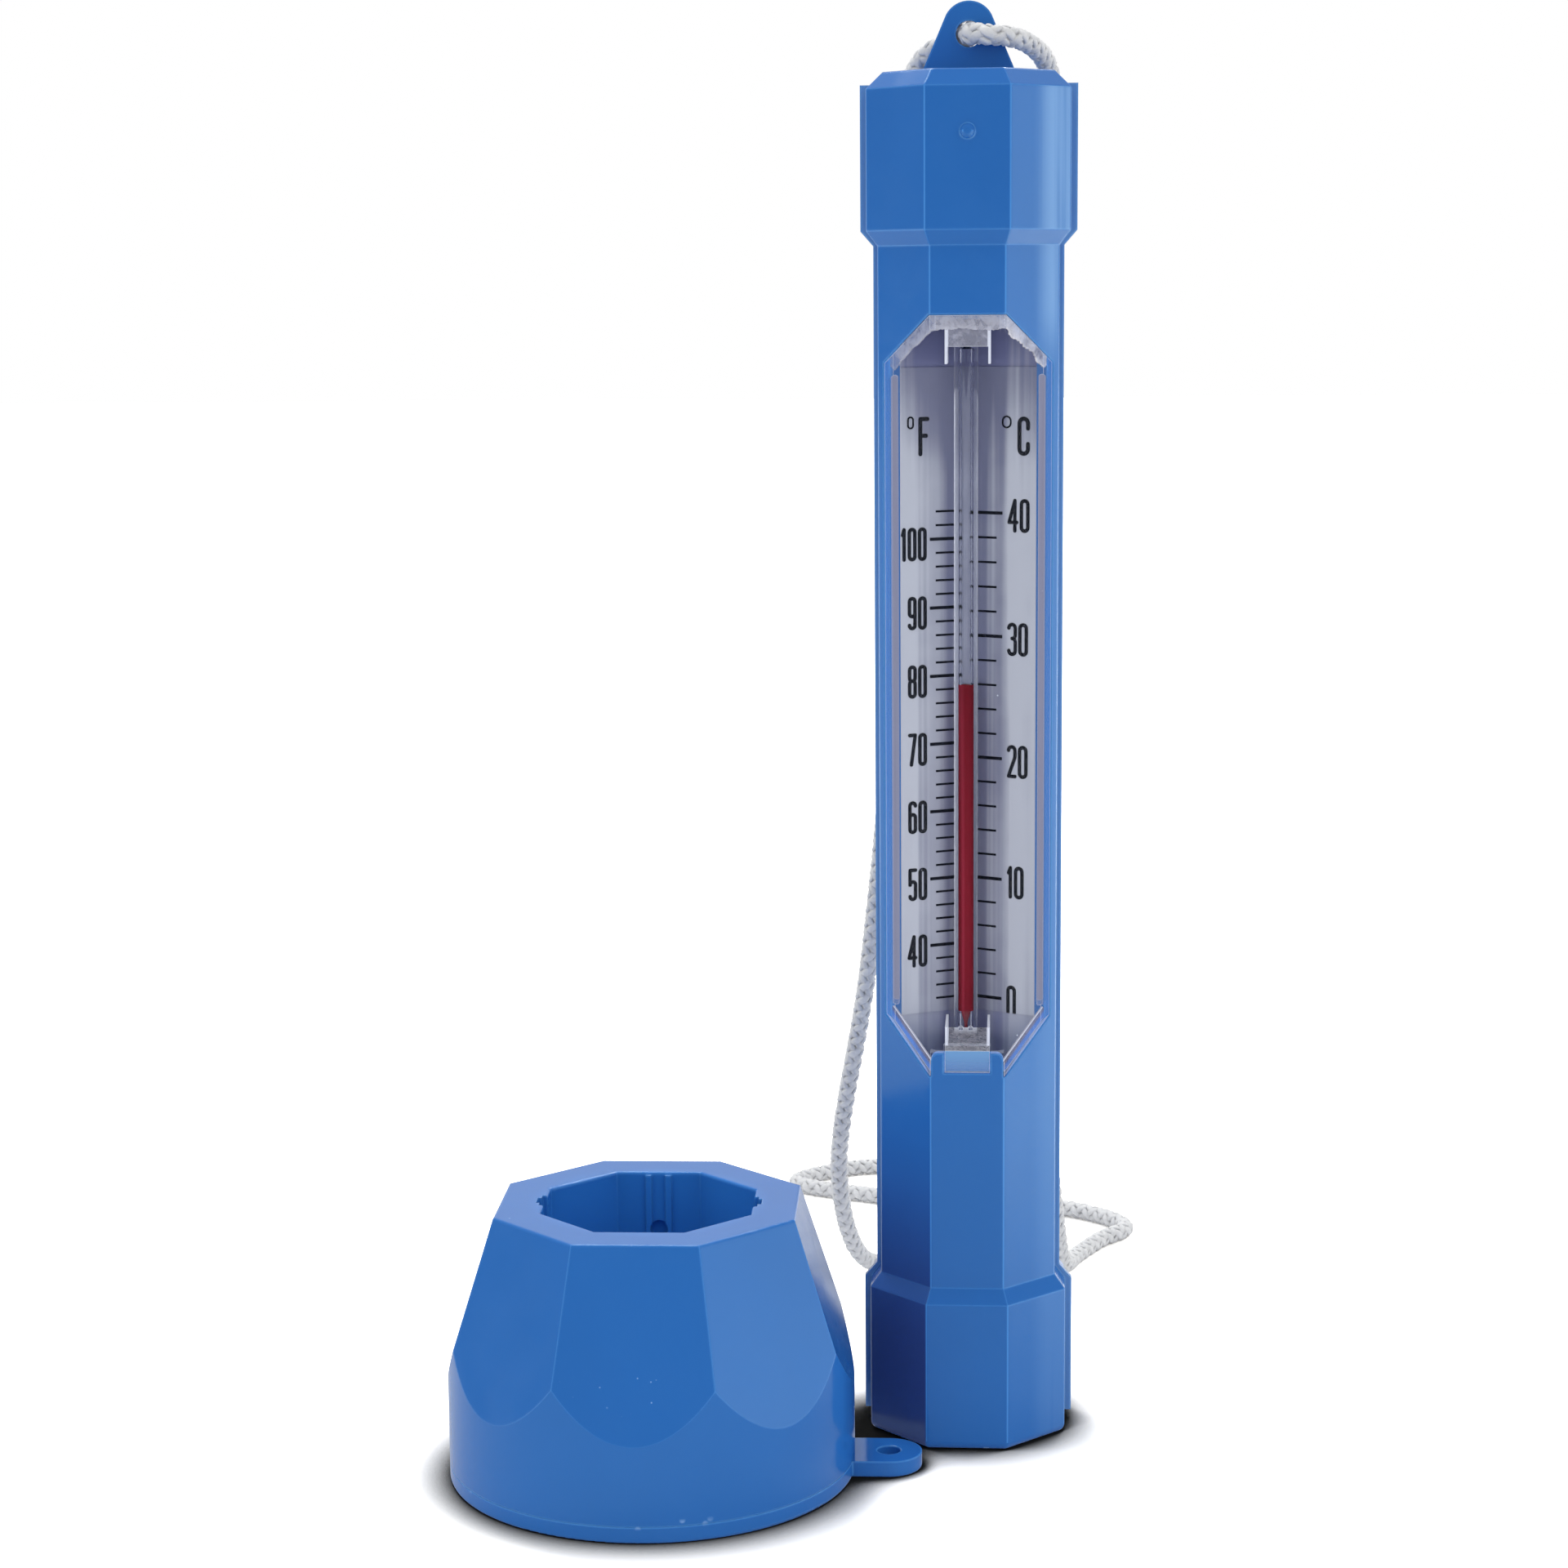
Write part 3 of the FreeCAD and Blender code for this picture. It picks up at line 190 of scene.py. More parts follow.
BLUE = (0.023, 0.15, 0.495)
BLUE_DEEP = (0.022, 0.142, 0.47)
BLUE_LIT = (0.1, 0.36, 0.85)
# Paler blue for the collar's bore: painted light.
BLUE_BORE_LIT = (0.03, 0.2, 0.62)
BLUE_GLOSS = (0.64, 0.97, 1.0)
# Pale blue for moulding specks, also used for the painted sheen and the painted flange highlight.
SPECK_AND_SHEEN = (0.35, 0.6, 0.95)
DARK_MIRROR = (0.045, 0.05, 0.18)
GLOW_DEEP, GLOW_AT_PANE = (0.012, 0.014, 0.06), (0.055, 0.12, 0.24)

FACETS = 8
FACET_SLANT = 0.707
SHEEN_X, SHEEN_Z = (8.5, 11.5), (150, 160)
MIRRORED_Z = (52, 12)
BARREL_HALF, BARREL_WALL, UNDER_PANE = (52.5, 51.5), (12.2, 11.9), (10.4, 10.7)
FLANGE_X, FLANGE_Y = (11, 12), (1.3, 1.2)
COLLAR_MIDDLE = (-43.5, -21.7, 30)
COLLAR_BORE = (19, 15)


def upright_corner(g):
    """1 on the rounded upright corners between the facets of an octagonal piece."""
    x, y, z = g.axes(g.normal())
    facet = g.times(g.math("ARCTAN2", y, x), FACETS / math.tau)
    between = g.near(g.math("FRACT", g.plus(facet, float(FACETS))), 0.5, 0.42)
    return g.times(between, g.ramp(g.size(z), 0.12, 0.05))


def corner_sheen(g):
    """The pale upright band along the outer corner of the tube's right hand front facet."""
    x, y = g.axes(g.normal())[:2]
    facet = g.times(g.near(x, FACET_SLANT, 0.12), g.near(y, -FACET_SLANT, 0.12))
    right, _, height = g.axes(g.place())
    band = g.times(g.over(right, SHEEN_X), g.over(height, SHEEN_Z, 0.2, 1.0))
    return g.times(facet, band, g.ramp(g.streaks(260, 260, 9), 0.25, 0.55))


def low_reflection(g):
    """The collar mirrored darkly in the left hand facets of the tube's lower end."""
    aside = g.ramp(g.axes(g.normal())[0], -0.4, -0.65)
    return g.times(aside, g.over(g.axes(g.place())[2], MIRRORED_Z), 0.75)


def octagon_reach(g, x, y):
    """How far out a point lies, measured square to the nearest facet."""
    return g.math("MAXIMUM", g.math("MAXIMUM", x, y), g.times(g.plus(x, y), math.sqrt(0.5)))


def tube_depth(g):
    """Masks for the inside of the barrel and for its seam flange, and the reach from the tube's axis."""
    x, y, z = g.axes(g.place())
    x, y = g.size(x), g.size(y)
    reach = octagon_reach(g, x, y)
    on_barrel = g.over(g.size(g.plus(z, -WINDOW_MIDDLE * MM)), BARREL_HALF)
    inside = g.times(on_barrel, g.over(reach, BARREL_WALL))
    facing = g.ramp(g.size(g.axes(g.normal())[1]), 0.6, 0.8)
    flange = g.times(g.over(y, FLANGE_Y), facing, g.over(x, FLANGE_X))
    return inside, flange, reach


def blue_plastic(name, octagonal_tube, seam_low, seam_high):
    """Glossy moulded plastic: flow marks, scuffs, painted highlights on edges and corners, moulding specks
    along a seam.

    The tube also gets a painted sheen, a painted dark reflection and a painted glow inside, for the light
    that its window lets in. The collar gets a paler bore: painted light.
    """
    g = graph(name)
    edges, soft = edge_mask(g, 0.45)
    if octagonal_tube:
        edges = g.math("MAXIMUM", edges, upright_corner(g))
    flow = g.noise(150, 4, 0.55, distortion=0.6)
    grain = g.noise(5200, 2)
    scuff = g.ramp(g.noise(420, 6, 0.7, distortion=1.2), 0.58, 0.78)
    seam = g.near(g.axes(g.place())[2], (seam_low + seam_high) / 2 * MM, (seam_high - seam_low) / 2 * MM)
    seam = g.times(seam, g.ramp(g.noise(60, 2), 0.5, 0.6))
    crumb = g.add("TexVoronoi", {"Vector": g.place(), "Scale": 520.0}).outputs["Distance"]
    sparse = g.times(g.ramp(crumb, 0.1, 0.04), g.ramp(g.noise(70, 1), 0.7, 0.75))
    speck = g.math("MAXIMUM", g.times(seam, g.ramp(crumb, 0.3, 0.14)), sparse)
    body = g.mix(g.ramp(g.noise(38, 3), 0.3, 0.7), BLUE_DEEP, BLUE)
    # Painted highlights on edges and corners.
    body = g.mix(g.times(edges, 0.62), body, BLUE_LIT)
    if octagonal_tube:
        # Painted sheen along the outer corner of the right hand front facet.
        body = g.mix(g.times(corner_sheen(g), 0.42), body, SPECK_AND_SHEEN)
        inside, flange, reach = tube_depth(g)
        # Painted highlight on the faces of the seam flange.
        body = g.mix(g.times(flange, 0.3), body, SPECK_AND_SHEEN)
        body = g.mix(low_reflection(g), body, DARK_MIRROR)
        # Painted glow inside the barrel, for the light that its window lets in.
        let_in = g.mix(g.over(reach, UNDER_PANE), GLOW_DEEP, GLOW_AT_PANE)
        glow_inside = {"Emission_Color": let_in, "Emission_Strength": inside}
    else:
        inputs = {0: g.place(), 1: metres(COLLAR_MIDDLE)}
        from_middle = g.add("VectorMath", inputs, operation="DISTANCE").outputs["Value"]
        # Painted light: the collar's bore is made paler.
        body = g.mix(g.over(from_middle, COLLAR_BORE, 0.0, 0.8), body, BLUE_BORE_LIT)
        glow_inside = {}
    body = g.mix(g.times(speck, 0.75), body, SPECK_AND_SHEEN)
    rough = g.plus(g.ramp(flow, 0.3, 0.7, 0.1, 0.17), g.times(scuff, 0.1))
    height = g.plus(g.times(flow, 0.7), g.times(grain, 0.06), g.times(speck, 0.6))
    return g.surface(g.plastic(
        body, rough, g.bump(height, 0.03 * MM, soft), IOR=1.5, Specular_Tint=BLUE_GLOSS,
        Subsurface_Weight=0.08, Subsurface_Radius=(0.2, 0.5, 1.0), Subsurface_Scale=0.6 * MM, **glow_inside,
    ))


FOLD_SIDES, FOLD_GROOVE, FOLD_TILT = (7.4, 4.4), (3.2, 2.5), (-4, 4)
CARD_SHADED_Z = (134, 151)


def card(name, pale, dark, rough):
    """White trough or its printed sheet: painted shade in the fold and a painted shadow at the top, with soft
    upright bands.
    """
    g = graph(name)
    bands = g.streaks(620, 620, 5, 2, 0.5)
    fibre = g.noise(3800, 3)
    across = g.plus(g.axes(g.place())[0], -GLASS_X * MM)
    aside = g.size(across)
    # Painted shade that deepens towards the fold.
    fold = g.plus(g.over(aside, FOLD_SIDES, 0.0, 0.58), g.over(aside, FOLD_GROOVE, 0.0, 0.17))
    shadow = g.over(g.axes(g.place())[2], CARD_SHADED_Z, 0.0, 0.75)
    cloudy = g.ramp(g.noise(90, 3), 0.3, 0.7, -0.1, 0.1)
    # Random bands and clouds, plus the painted shadow at the top.
    tone_and_shadow = g.plus(g.ramp(bands, 0.3, 0.7, -0.25, 0.25), cloudy, shadow)
    # The painted shade in the fold is stronger on the left.
    fold = g.times(fold, g.over(across, FOLD_TILT, 1.2, 0.85))
    shade = g.mix(g.ramp(g.plus(fold, tone_and_shadow), 0.0, 1.0), pale, dark)
    height = g.plus(fibre, g.times(bands, 3.0))
    rough = g.ramp(fibre, 0.3, 0.7, rough, rough + 0.08)
    return g.surface(g.plastic(shade, rough, g.bump(height, 0.006 * MM)))


def ink(name):
    """Near-black print, a little worn."""
    g = graph(name)
    wear = g.noise(3000, 4, 0.7)
    colour = g.mix(g.ramp(wear, 0.5, 0.8), (0.004, 0.006, 0.012), (0.02, 0.025, 0.05))
    rough = g.ramp(wear, 0.3, 0.7, 0.4, 0.55)
    return g.surface(g.plastic(colour, rough, g.bump(wear, 0.01 * MM), Specular_IOR_Level=0.08))


def red_spirit(name):
    """Dyed spirit: a lighter reflection down the left of the column."""
    g = graph(name)
    streak = g.streaks(900, 900, 30)
    across = g.axes(g.normal())[0]
    base = g.mix(streak, (0.23, 0.012, 0.022), (0.3, 0.018, 0.034))
    colour = g.mix(g.near(across, -0.45, 0.42), base, (0.42, 0.035, 0.06))
    rough = g.ramp(streak, 0.3, 0.7, 0.4, 0.5)
    return g.surface(g.plastic(colour, rough, g.bump(streak, 0.01 * MM), Specular_IOR_Level=0.0))


def turned_steel(name):
    """Turned steel with a little rust."""
    g = graph(name)
    groove = g.streaks(20, 20, 4000)
    rust = g.ramp(g.noise(300, 5), 0.6, 0.75)
    colour = g.mix(rust, (0.45, 0.45, 0.46), (0.24, 0.16, 0.11))
    metal = g.ramp(rust, 0.0, 1.0, 1.0, 0.3)
    rough = g.ramp(groove, 0.3, 0.7, 0.25, 0.45)
    return g.surface(g.plastic(colour, rough, g.bump(groove, 0.02 * MM), Metallic=metal))


def cord_yarn(name):
    """Soft white multifilament yarn, with painted shade in the valleys of the braid and a faint painted glow.
    """
    g = graph(name)
    fibre = g.noise(5200, 3, 0.7)
    colour = g.mix(g.ramp(g.noise(260, 4), 0.3, 0.75), (0.74, 0.74, 0.74), (0.66, 0.66, 0.665))
    # Painted shade in the valleys between the strands.
    colour = g.mix(g.ramp(g.kept("relief"), 0.1, 0.75), (0.5, 0.5, 0.51), colour)
    # The faint emission is a painted glow.
    return g.surface(g.plastic(
        colour, g.ramp(fibre, 0.2, 0.8, 0.5, 0.8), g.bump(fibre, 0.09 * MM),
        Sheen_Weight=0.15, Sheen_Roughness=0.4, Emission_Color=colour, Emission_Strength=0.06,
        Subsurface_Weight=0.15, Subsurface_Radius=(1, 1, 1), Subsurface_Scale=0.4 * MM,
    ))


# ---------------------------------------------------------------- clear materials


def see_through(g, tint, rough, normal, gloss=1.0):
    """A clear wall that shows what is behind without bending it, with the gloss of its front."""
    mirrored = g.add("Fresnel", {"IOR": 1.47, "Normal": normal}).outputs[0]
    front = g.math("SUBTRACT", 1.0, g.add("NewGeometry").outputs["Backfacing"])
    seen = g.add("LightPath").outputs["Is Camera Ray"]
    through = g.add("BsdfTransparent", {"Color": tint}).outputs[0]
    mirror = g.add("BsdfAnisotropic", {"Roughness": rough, "Color": (1, 1, 1), "Normal": normal}).outputs[0]
    return g.blend(g.times(mirrored, front, seen, gloss), through, mirror)


RIM_X, RIM_HALF = (8.4, 8.8), (49.5, 50.5)
LEG_X, LEG_Y = (9.3, 9.5), (-5.4, -5.0)
GLOW_WHITE = (0.66, 0.7, 0.8)


def window_clear(name):
    """Clear moulded window: flow waves, dust, scratches, and painted light: highlights on rim edges and at
    grazing angles, glow and blue on the legs.
    """
    g = graph(name)
    edges, soft = edge_mask(g, 0.14)
    x, y, z = g.axes(g.place())
    ends = g.over(g.size(g.plus(z, -WINDOW_MIDDLE * MM)), RIM_HALF)
    rim = g.math("MAXIMUM", g.over(g.size(x), RIM_X), ends)
    grain = g.noise(2600, 4, 0.7)
    scratch = g.ramp(g.streaks(2600, 2600, 90), 0.68, 0.76)
    rough = g.plus(g.ramp(grain, 0.4, 0.8, 0.04, 0.09), g.times(scratch, 0.12))
    height = g.plus(g.noise(55, 2), g.times(grain, 0.04))
    shader = see_through(g, (0.965, 0.97, 0.985), rough, g.bump(height, 0.02 * MM), 0.15)
    aside, behind = (g.ramp(g.size(part), 0.8, 0.95) for part in g.axes(g.normal())[:2])
    leg = g.times(g.over(y, LEG_Y), g.over(g.size(x), LEG_X))
    # Painted light on the legs: their backs glow pale, and their sides are painted the dark blue of the
    # housing seen through them.
    back_colour = g.mix(g.streaks(1500, 10, 60), (0.22, 0.27, 0.5), (0.42, 0.47, 0.62))
    back = g.plastic(back_colour, 0.3, soft, Emission_Color=(0.46, 0.43, 0.42), Emission_Strength=0.45)
    flank = g.plastic((0.04, 0.06, 0.32), 0.25, soft, Emission_Color=(0.03, 0.04, 0.2), Emission_Strength=0.4)
    shader = g.blend(g.times(leg, behind, 0.85), shader, back)
    shader = g.blend(g.times(leg, aside, 0.9), shader, flank)
    dust = g.add("TexVoronoi", {"Vector": g.place(), "Scale": 150.0}).outputs["Distance"]
    # A white that glows: dust, and painted highlights on the rim's edges and at grazing angles.
    glowing_white = g.plastic(GLOW_WHITE, 0.3, soft, Emission_Color=GLOW_WHITE, Emission_Strength=0.35)
    pale = g.math("MAXIMUM", g.times(edges, rim, 0.8), g.ramp(dust, 0.022, 0.01, 0.0, 0.5))
    # Painted sheen at grazing angles.
    grazing = g.ramp(g.add("LayerWeight", {"Blend": 0.5}).outputs["Facing"], 0.6, 0.95, 0.0, 0.5)
    pale = g.math("MAXIMUM", pale, grazing)
    return g.surface(g.blend(pale, shader, glowing_white))


TONGUE_TOP, TONGUE_FADE = (57.4, 57.2), (54.2, 57.2)
UPPER_CLIP_Z = (150, 150.1)
BEAD_Z, BEAD_REACH, BEADS_X = 59.2, 0.9, (1.7, 1.5)
PRONG_X, PRONG_Y = (2.6, 2.72), (-10.6, -10.4)


def clip_clear(name):
    """Clear clips: painted white highlights on prongs and edges, and a crystalline saddle where the moulding
    cooled badly.
    """
    g = graph(name)
    edges, soft = edge_mask(g, 0.12)
    x, y, z = g.axes(g.place())
    sparkle = g.noise(1700, 6, 0.8, distortion=1.5)
    crystal = g.mix(g.ramp(sparkle, 0.35, 0.62), (0.1, 0.1, 0.13), (0.5, 0.5, 0.54))
    # The whitest sparkles are painted glints.
    crystal = g.mix(g.ramp(sparkle, 0.62, 0.7), crystal, (0.95, 0.95, 1.0))
    frosted = g.plastic(crystal, 0.2, g.bump(sparkle, 0.2 * MM))
    lit = (0.72, 0.74, 0.82)
    uneven = g.bump(g.noise(1900, 4), 0.05 * MM, soft)
    # A white that glows: painted highlights for edges, prongs and the beads' rims.
    glowing_white = g.plastic((0.74, 0.76, 0.82), 0.35, uneven, Emission_Color=lit, Emission_Strength=0.3)
    # A whitish clouding that glows a little; the glow is painted light.
    glowing_haze = g.plastic((0.5, 0.5, 0.58), 0.4, soft, Emission_Color=lit, Emission_Strength=0.1)
    clear = see_through(g, (0.93, 0.94, 0.965), 0.08, g.bump(g.noise(500, 3), 0.03 * MM))
    tongue = g.over(z, TONGUE_TOP)
    cloudy = g.plus(g.ramp(g.noise(700, 5, 0.65), 0.45, 0.7, 0.05, 0.4), g.over(z, UPPER_CLIP_Z, 0.0, 0.3))
    cloudy = g.times(cloudy, g.math("SUBTRACT", 1.0, tongue))
    clear = g.blend(g.math("MAXIMUM", cloudy, 0.04), clear, glowing_haze)
    # Painted light: the lower tongue takes the blue of the housing seen through it, and glows a little.
    painted_view_through = g.plastic((0.13, 0.3, 0.6), 0.15, soft, Emission_Color=(0.15, 0.35, 0.5), Emission_Strength=0.25)
    clear = g.blend(g.times(tongue, g.over(z, TONGUE_FADE, 0.15, 0.75)), clear, painted_view_through)
    bead = g.near(z, BEAD_Z * MM, BEAD_REACH * MM)
    bead = g.times(bead, g.over(g.size(g.plus(x, -GLASS_X * MM)), BEADS_X))
    # Painted highlights on the beads' rims at glancing angles.
    glancing = g.ramp(g.add("LayerWeight", {"Blend": 0.5}).outputs["Facing"], 0.25, 0.6)
    prong = g.times(g.over(g.size(x), PRONG_X), g.over(y, PRONG_Y))
    shader = g.blend(g.ramp(g.axes(g.normal())[2], 0.6, 0.8, 0.0, 0.9), clear, frosted)
    # Painted white highlights on edges and prongs.
    white = g.math("MAXIMUM", g.times(edges, 0.75), g.times(prong, 0.8))
    return g.surface(g.blend(g.math("MAXIMUM", white, g.times(bead, glancing)), shader, glowing_white))


GLASS_TINT, GLASS_INDEX = (0.93, 0.935, 0.955), 1.49


def tube_glass(name):
    """Drawn glass that really bends light, so that the capillary looks as wide as the tube.

    Its front reflects nothing, or else reflections would hide the spirit.
    """
    g = graph(name)
    glass = g.plastic(
        GLASS_TINT, g.ramp(g.noise(600, 3), 0.3, 0.8, 0.0, 0.02), g.bump(g.streaks(300, 300, 4), 0.0005 * MM),
        IOR=GLASS_INDEX, Transmission_Weight=1.0,
    )
    path = g.add("LightPath")
    passing = g.math("MAXIMUM", path.outputs["Is Shadow Ray"], path.outputs["Is Diffuse Ray"])
    entering = g.add("BsdfRefraction", {"Color": GLASS_TINT, "Roughness": 0.0, "IOR": GLASS_INDEX}).outputs[0]
    glass = g.blend(g.add("NewGeometry").outputs["Backfacing"], entering, glass)
    return g.surface(g.blend(passing, glass, g.add("BsdfTransparent", {"Color": GLASS_TINT}).outputs[0]))


def dried_adhesive(name, cover, pale):
    """Whitish glue with clear gaps, bubbles and crumbs; the white glows a little, which is painted light."""
    g = graph(name)
    patch = g.ramp(g.noise(520, 5, 0.62, distortion=0.8), 0.3, 0.6, cover * 0.35, cover)
    crumb = g.noise(2200, 4, 0.7)
    colour = g.mix(crumb, tuple(part * 0.75 for part in pale), pale)
    colour = g.mix(g.ramp(g.noise(240, 3, 0.5), 0.6, 0.68, 0.0, 0.7), colour, (0.16, 0.16, 0.22))
    # The white glue glows a little: painted light.
    white = g.plastic(colour, 0.4, g.bump(crumb, 0.08 * MM), Emission_Color=colour, Emission_Strength=0.5)
    clear = see_through(g, (0.93, 0.93, 0.95), 0.12, g.bump(crumb, 0.05 * MM), 1.6)
    return g.surface(g.blend(patch, clear, white))


def wall_clear(name):
    """The clear wall under the lower corners: a painted brownish and blue view through it, and painted
    highlights, brightest along its inner edge.
    """
    g = graph(name)
    across = g.kept("across")
    streak = g.streaks(300, 300, 300)
    # Painted view through the wall: the blue of the housing along its outer edge, brownish further in; it
    # glows a little.
    brownish_refraction = g.mix(streak, (0.2, 0.17, 0.2), (0.36, 0.33, 0.37))
    colour = g.mix(g.ramp(across, 0.35, 0.65), (0.16, 0.33, 0.72), brownish_refraction)
    painted_view_through = g.plastic(colour, 0.25, g.bump(streak, 0.05 * MM), Emission_Color=colour, Emission_Strength=0.4)
    clear = g.add("BsdfTransparent", {"Color": (0.9, 0.91, 0.94)}).outputs[0]
    # Painted highlights along the wall's edges.
    white = (0.8, 0.81, 0.85)
    bright = g.plastic(white, 0.3, g.normal(), Emission_Color=white, Emission_Strength=0.35)
    shader = g.blend(g.ramp(streak, 0.3, 0.7, 0.45, 0.75), clear, painted_view_through)
    lines = g.math("MAXIMUM", g.times(g.near(across, 0.03, 0.08), 0.35), g.near(across, 0.93, 0.1))
    return g.surface(g.blend(lines, shader, bright))


SPIRIT_RED = red_spirit("spirit_red")
FINISHES = (
    (blue_plastic("tube_blue", True, 0, 0.5), "front_housing", "rear_housing"),
    (blue_plastic("float_blue", False, 1.8, 3.4), "float_shell", "float_base"),
    (window_clear("window_clear"), "window_lens"),
    (clip_clear("clip_clear"), "lower_tube_clip", "upper_tube_clip"),
    (card("carrier_white", (0.5, 0.52, 0.6), (0.15, 0.16, 0.3), 0.4), "scale_carrier"),
    (card("sheet_print", (0.56, 0.58, 0.64), (0.17, 0.18, 0.28), 0.3), "scale_sheet"),
    (ink("scale_ink"), "scale_ticks", "scale_numerals"),
    (tube_glass("tube_glass"), "glass_tube"),
    (turned_steel("ballast_steel"), "ballast_weight"),
    (SPIRIT_RED, "spirit_reservoir"),
)
for material, *names in FINISHES:
    for node_name in names:
        NODES[node_name].data.materials.clear()
        NODES[node_name].data.materials.append(material)


PRINT_SPREAD, PRINT_WELD = 0.03, 0.001


def spread_print():
    """Printed strokes bleed a little into the sheet round them. The weld keeps the spread strokes closed."""
    modifiers = NODES["scale_numerals"].modifiers
    modifiers.new("weld", "WELD").merge_threshold = PRINT_WELD * MM
    spread = modifiers.new("spread", "DISPLACE")
    spread.strength = PRINT_SPREAD * MM
    spread.mid_level = 0.0


spread_print()


# ---------------------------------------------------------------- made pieces


def made(name, vertices, faces, material):
    """A smooth mesh piece from vertices in millimetres."""
    mesh = bpy.data.meshes.new(name)
    mesh.from_pydata([metres(vertex) for vertex in vertices], [], faces)
    mesh.polygons.foreach_set("use_smooth", [True] * len(faces))
    mesh.materials.append(material)
    piece = bpy.data.objects.new(name, mesh)
    bpy.context.scene.collection.objects.link(piece)
    return piece


def keep_values(piece, name, values):
    """Values per vertex that the piece's material reads."""
    attribute = piece.data.attributes.new(name, "FLOAT", "POINT")
    attribute.data.foreach_set("value", np.asarray(values, np.float32))


def tube_faces(rings, sides, closed=False):
    """Quads between successive rings of vertices."""
    faces = []
    for ring in range(rings if closed else rings - 1):
        here, there = ring * sides, (ring + 1) % rings * sides
        for side in range(sides):
            beside = (side + 1) % sides
            faces.append((here + side, here + beside, there + beside, there + side))
    return faces


SPIRIT_RADIUS, SPIRIT_SIDES = 0.705, 32
SPIRIT_FOOT, SPIRIT_TOP, MENISCUS = 57.5, 107.3, 0.22
SPIRIT_RINGS = (
    (SPIRIT_FOOT, 0.22), (59.4, 0.26), (60.2, 0.5), (61.0, SPIRIT_RADIUS),
    (SPIRIT_TOP, SPIRIT_RADIUS), (SPIRIT_TOP - MENISCUS, SPIRIT_RADIUS * 0.55),
)


def spirit():
    """The column wets its bore and thins out at its foot.

    It has no vertices between its foot and its top.
    """
    vertices = []
    for z, r in SPIRIT_RINGS:
        for side in range(SPIRIT_SIDES):
            angle = math.tau * side / SPIRIT_SIDES
            vertices.append((GLASS_X + r * math.cos(angle), GLASS_Y + r * math.sin(angle), z))
    faces = tube_faces(len(SPIRIT_RINGS), SPIRIT_SIDES)
    faces.append(tuple(range(len(vertices) - SPIRIT_SIDES, len(vertices))))
    faces.append(tuple(reversed(range(SPIRIT_SIDES))))
    piece = made("spirit_in_bore", vertices, faces, SPIRIT_RED)
    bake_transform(piece)
    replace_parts(piece, "spirit_column")


# ---------------------------------------------------------------- cord

# Places along the middle of the cord. BIGHT goes over the head and through the tab's hole, TAIL goes down
# behind the tube, over the ground and back up.
HEAD_REAR, HOLE, LYING = 13.8, 195.6, 1.5
BIGHT = [
    (11.4, HEAD_REAR + 1.1, 185.6), (11.4, 11.6, 189.4), (10.3, 7.2, 192.6), (8.1, 1.6, 194.4),
    (5.6, -2.2, HOLE - 0.5), (2.8, -3.6, HOLE - 0.3), (0.7, -2.6, HOLE - 0.1), (0, 0, HOLE),
    (-0.7, 2.6, HOLE - 0.1), (-2.7, 4.9, HOLE - 0.6), (-5.6, 7.6, HOLE - 1.9), (-7.6, 10.8, HOLE - 4.1),
    (-8.8, HEAD_REAR + 1.3, 188.8), (-9.1, HEAD_REAR + 2, 185.6),
]
TAIL = [
    (11.3, HEAD_REAR + 1.9, 183), (10.6, 16.8, 165), (9.8, 19, 120), (9.8, 26, 78), (11, 38, 42),
    (13.4, 54, 14), (15, 64.5, 3), (17.4, 74, LYING), (21.4, 82.4, LYING), (25.9, 89.8, LYING),
    (16.6, 100.2, LYING), (-2, 103, LYING), (-19.6, 107.8, LYING), (-32.5, 115, LYING),
    (-21.9, 125.3, LYING), (-6, 125.3, LYING), (2, 119, LYING + 0.5), (3, 103, LYING + 3.4),
    (-2, 88, LYING + 0.5), (-8.5, 76, LYING + 0.1), (-15.5, 65.5, LYING + 0.7), (-19, 57, 7.5),
    (-21, 46, 24), (-15.5, 30, 60), (-11, 21, 105), (-9.6, 17.8, 150), (-9.2, HEAD_REAR + 2.4, 183),
]


def bend(p, t, u):
    """A Catmull-Rom curve from p[1] to p[2] at the knot values u. Knots t belong to the four places p."""
    level = p
    for span in (1, 2):
        level = [
            (level[i] * (t[i + span] - u) + level[i + 1] * (u - t[i])) / (t[i + span] - t[i])
            for i in range(len(level) - 1)
        ]
    return (level[0] * (t[2] - u) + level[1] * (u - t[1])) / (t[2] - t[1])


DENSE = 60


def smooth_loop(places, step):
    """A closed curve through the places as points at even steps, and its length."""
    points = np.array(places, float)
    spans = []
    for index in range(len(points)):
        p = np.take(points, range(index - 1, index + 3), axis=0, mode="wrap")
        knots = np.concatenate([[0], np.cumsum(np.linalg.norm(np.diff(p, axis=0), axis=1) ** 0.5)])
        u = np.linspace(knots[1], knots[2], DENSE, endpoint=False)[:, None]
        spans.append(bend(list(p), knots, u))
    dense = np.vstack([*spans, spans[0][:1]])
    run = np.concatenate([[0], np.cumsum(np.linalg.norm(np.diff(dense, axis=0), axis=1))])
    stations = np.linspace(0, run[-1], int(run[-1] / step), endpoint=False)
    return np.column_stack([np.interp(stations, run, dense[:, axis]) for axis in range(3)]), run[-1]


def unit(vectors):
    """The same directions with length 1."""
    return vectors / np.linalg.norm(vectors, axis=-1)[..., None]


